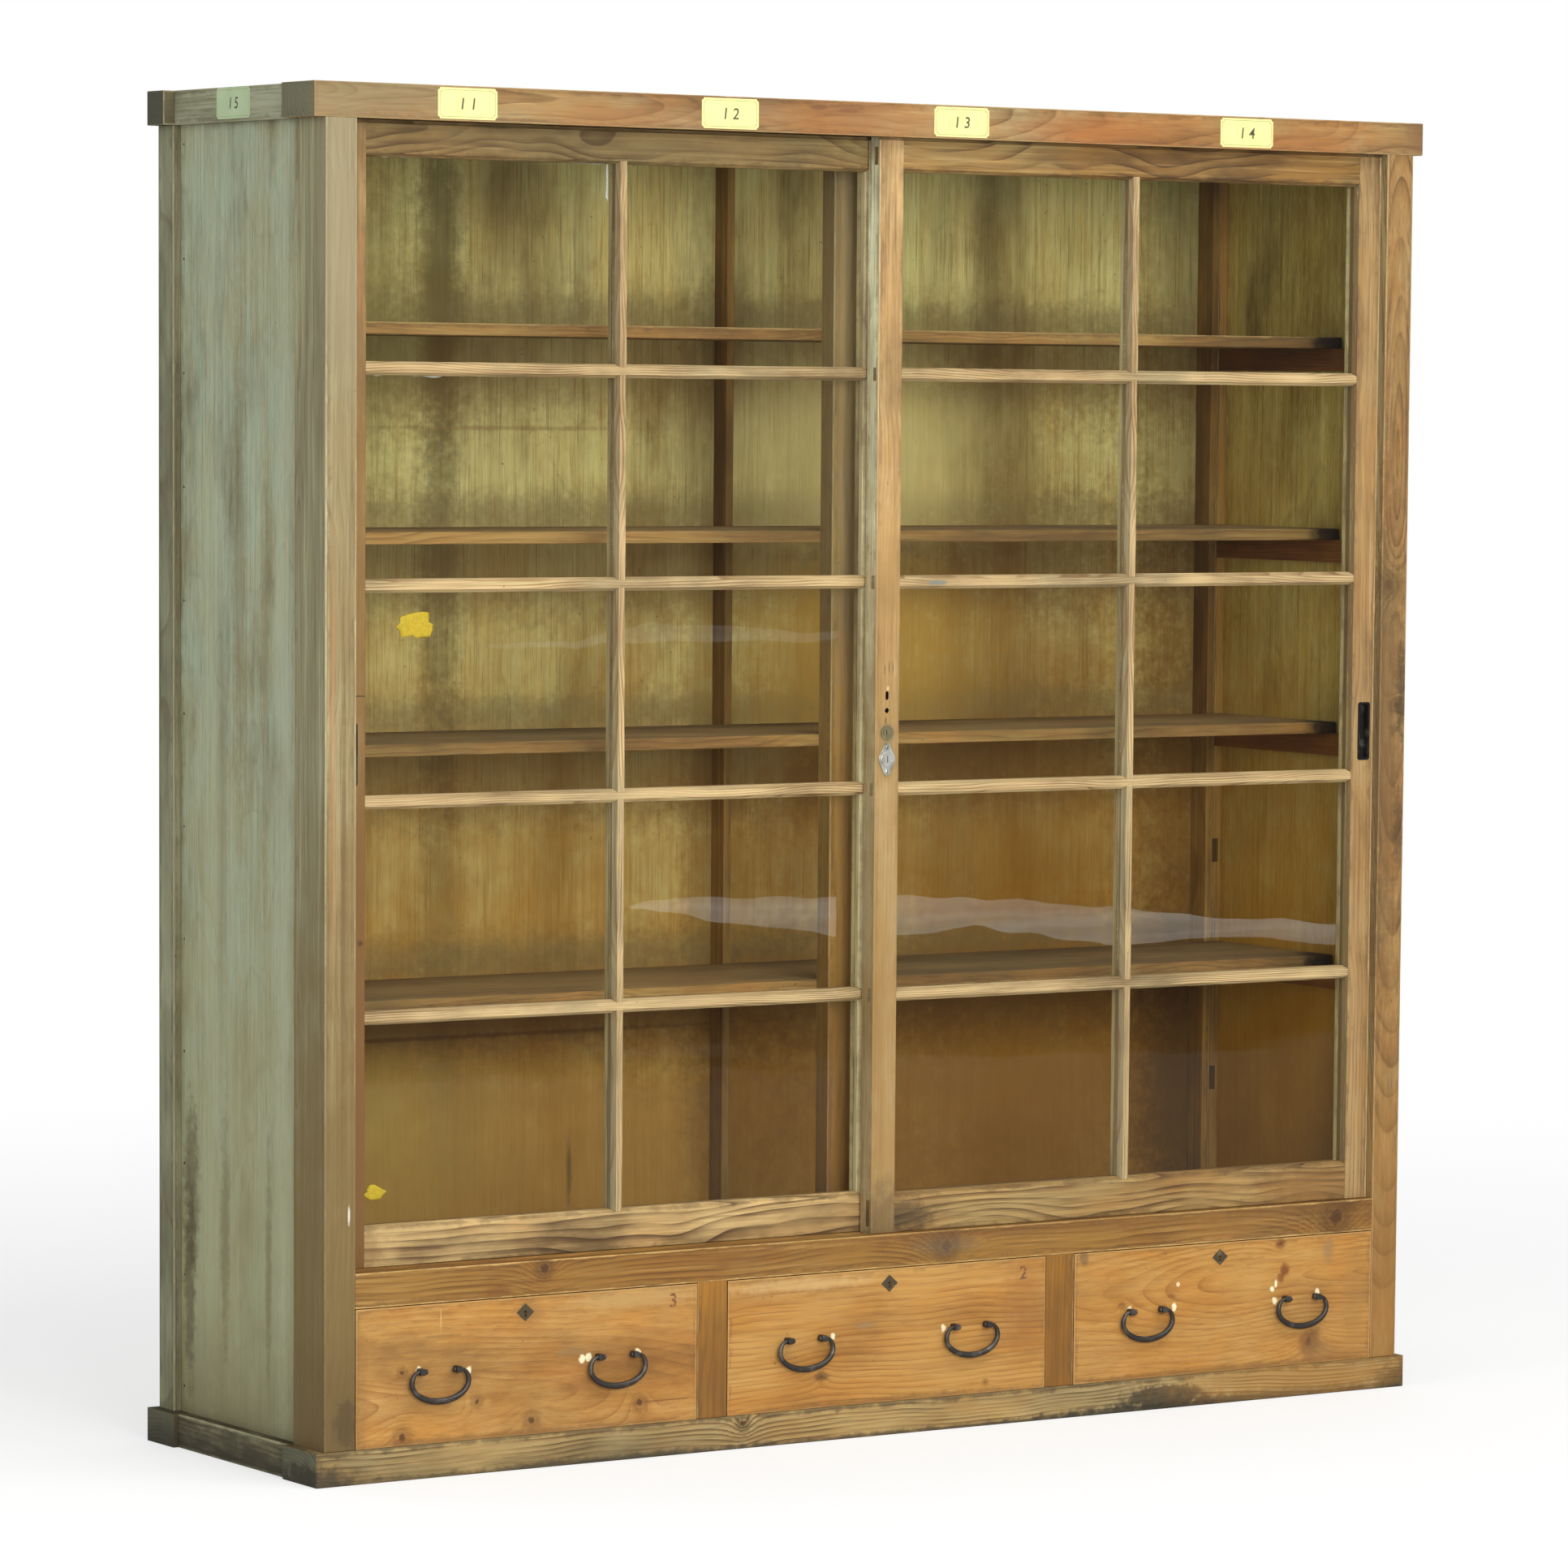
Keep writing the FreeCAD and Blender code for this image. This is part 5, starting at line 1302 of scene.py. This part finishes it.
def putty(name, colour, faint):
    """Dried, wrinkled putty."""
    material, n, shader = new_material(name)
    wrinkle = n.noise(n.place(), 260.0, 4.0, 0.6)
    tone = n.mix(wrinkle, rgb(*colour), rgb(*faint))
    n.surface(shader, tone, n.times_plus(wrinkle, 0.3, 0.5), wrinkle, 1.0, 0.001)
    return material


def blob(name, centre, half_width, half_height, thickness, seed):
    """Yellow lump pressed flat on a pane of the left door, with a ragged outline."""
    maker = bmesh.new()
    around = 40
    rings = []
    for share, rise in ((1.0, 0.0), (0.985, 0.5), (0.8, 0.85), (0.5, 1.0), (0.2, 0.9)):
        ring = []
        for step in range(around):
            angle = 2 * math.pi * step / around
            way = Vector((math.cos(angle), math.sin(angle), seed))
            reach = share * (1.0 + 0.45 * noise.noise(way * 2.3) * share)
            lump = 1.0 + 0.35 * noise.noise(Vector((way.x * share * 3, way.y * share * 3, seed)))
            x = centre[0] + half_width * reach * math.cos(angle)
            z = centre[1] + half_height * reach * math.sin(angle)
            ring.append(maker.verts.new((x, LEFT_PANE - thickness * rise * lump, z)))
        rings.append(ring)
    skin(maker, rings)
    return finished(name, maker, [yellow], "left_door")


def trace(name, start, end, width, seed):
    """Thin ragged line of putty along the edge of a pane of the left door."""
    maker = bmesh.new()
    first, last = (Vector((x, LEFT_PANE, z)) for x, z in (start, end))
    along = (last - first).normalized()
    down = Vector((along.z, 0.0, -along.x))
    steps = max(8, round((last - first).length / 0.006))
    rings = []
    for number in range(steps + 1):
        place = first.lerp(last, number / steps)
        edge = width * (0.35 + 0.9 * abs(noise.noise(place * 55.0 + Vector((seed, 0, 0)))))
        if number in (0, steps):
            edge = width * 0.05
        ring = []
        for reach, lift in ((0.0, 0.0), (0.0, 0.0007), (0.7, 0.0005), (1.0, 0.0)):
            ring.append(maker.verts.new(place + down * edge * reach + Vector((0.0, -lift, 0.0))))
        rings.append(ring)
    skin(maker, rings)
    return finished(name, maker, [grey_putty], "left_door")


yellow = putty("yellow putty", (196, 170, 16), (140, 118, 6))
grey_putty = putty("grey putty", (188, 190, 178), (150, 150, 136))
blob("yellow_lump", (-0.7036, 1.1062), 0.028, 0.0155, 0.0012, 2.0)
blob("yellow_dab", (-0.7655, 0.3705), 0.015, 0.009, 0.0006, 5.0)
TRACES = (
    ((-0.774, 1.7135), (-0.418, 1.7135), 0.006),
    ((-0.4185, 1.712), (-0.4185, 1.66), 0.006),
    ((-0.772, 1.432), (-0.60, 1.432), 0.005),
)
for number, (start, end, width) in enumerate(TRACES, 1):
    trace("putty_trace_%d" % number, start, end, width, 3.0 * number)


# Room


def stage_piece(name, corners, material):
    """Flat sheet of the room."""
    mesh = bpy.data.meshes.new(name)
    mesh.from_pydata(corners, [], [tuple(range(len(corners)))])
    piece = in_scene(name, mesh)
    mesh.materials.append(material)
    return piece


def make_floor():
    """Pale floor that keeps the cabinet's shadow and fades into the white room."""
    material, n, shader = new_material("pale floor")
    shader.inputs["Base Color"].default_value = (0.86, 0.86, 0.85, 1.0)
    shader.inputs["Roughness"].default_value = 0.9
    shader.inputs["Specular IOR Level"].default_value = 0.1
    fade = n.ramp(n.vector("LENGTH", n.place()), 1.2, 4.5, 0.55, 1.0)
    path = n.add("ShaderNodeLightPath").outputs
    seen = n.math("MAXIMUM", path["Is Camera Ray"], path["Is Glossy Ray"])
    seen = n.math("MAXIMUM", seen, path["Is Transmission Ray"])
    edge = n.times_plus(n.swing(n.place(), 1.3), 2.4, n.split(n.place())[1])
    dim = n.ramp(edge, -4.5, -4.3, 0.05, 0.18)
    mirrored = n.math("MINIMUM", path["Glossy Depth"], 1.0)
    strength = n.less(1.0, n.times(mirrored, n.less(1.0, dim)))
    white = n.add("ShaderNodeEmission", {"Color": WHITE, "Strength": strength})
    amount = n.math("MAXIMUM", n.times(fade, seen), mirrored)
    n.blend(amount, shader, white, material.node_tree.nodes["Material Output"])
    reach = 30.0
    corners = [(-reach, -reach, 0), (reach, -reach, 0), (reach, reach, 0), (-reach, reach, 0)]
    stage_piece("floor", corners, material)


def make_world():
    """White surroundings for what the camera sees, straight or through glass, a dim grey for what metal and
    glass reflect, and a plain grey light elsewhere.
    """
    world = bpy.data.worlds.new("room")
    bpy.context.scene.world = world
    world.use_nodes = True
    n = Nodes(world.node_tree)
    for node in list(world.node_tree.nodes):
        world.node_tree.nodes.remove(node)
    path = n.add("ShaderNodeLightPath").outputs
    seen = n.math("MAXIMUM", path["Is Camera Ray"], path["Is Transmission Ray"])
    mirrored = n.math("MINIMUM", path["Glossy Depth"], 1.0)
    seen = n.times(seen, n.less(1.0, mirrored))
    dim = n.times_plus(mirrored, -0.69, 0.75)
    soft = n.add("ShaderNodeBackground", {"Color": (0.97, 0.98, 1.0, 1.0), "Strength": dim})
    white = n.add("ShaderNodeBackground", {"Color": WHITE, "Strength": 1.0})
    n.blend(seen, soft, white, n.add("ShaderNodeOutputWorld"))


def lamp(name, place, size, watts, colour):
    """Soft rectangular lamp aimed at the middle of the cabinet."""
    data = bpy.data.lights.new(name, "AREA")
    data.shape = "RECTANGLE"
    data.size, data.size_y = size
    data.energy = watts
    data.color = colour
    aim = (Vector((0.0, 0.0, 0.9)) - Vector(place)).to_track_quat("-Z", "Y")
    in_scene(name, data).matrix_world = Matrix.Translation(place) @ aim.to_matrix().to_4x4()


make_floor()
make_world()
lamp("front lamp", (-1.6, -6.6, 2.3), (3.4, 2.4), 270.0, (1.0, 0.98, 0.95))
lamp("top lamp", (0.3, -2.4, 4.4), (3.0, 1.6), 90.0, (1.0, 0.98, 0.95))
lamp("left lamp", (-5.0, -1.5, 2.8), (2.6, 2.6), 50.0, (0.97, 1.0, 1.0))


# Reflections in the panes

STRIP_Y = -4.2
BAND = (
    (2.069, 0.366), (2.185, 0.380), (2.381, 0.379), (2.580, 0.370), (2.701, 0.375), (2.884, 0.368),
    (3.239, 0.330), (3.518, 0.302), (3.847, 0.275), (3.848, 0.229), (3.519, 0.252), (3.240, 0.248),
    (2.885, 0.304), (2.701, 0.294), (2.581, 0.290), (2.322, 0.321), (2.078, 0.359),
)
UPPER_LINE = (
    (1.74, 0.897), (1.93, 0.897), (2.58, 0.905), (2.58, 0.920), (2.12, 0.941), (1.93, 0.908), (1.74, 0.906),
)


def pale_strip(name, outline, strength):
    """Pale strip of the room that only shows as a reflection in the panes."""
    material = bpy.data.materials.new(name)
    material.use_nodes = True
    n = Nodes(material.node_tree)
    streaks = n.noise(n.vector("MULTIPLY", n.place(), (1.5, 1.0, 40.0)), 1.0, 3.0)
    uneven = n.times(n.ramp(streaks, 0.3, 0.7, 0.7, 1.15), strength)
    glow = n.add("ShaderNodeEmission", {"Color": (0.92, 1.0, 1.0, 1.0), "Strength": uneven})
    n.feed(material.node_tree.nodes["Material Output"].inputs["Surface"], glow.outputs[0])
    strip = stage_piece(name, [(x, STRIP_Y, z) for x, z in outline], material)
    strip.visible_camera = False
    strip.visible_diffuse = False
    strip.visible_transmission = False
    strip.visible_shadow = False


pale_strip("reflected band", BAND, 2.3)
pale_strip("reflected line", UPPER_LINE, 0.9)
bpy.context.scene.view_settings.view_transform = "Standard"
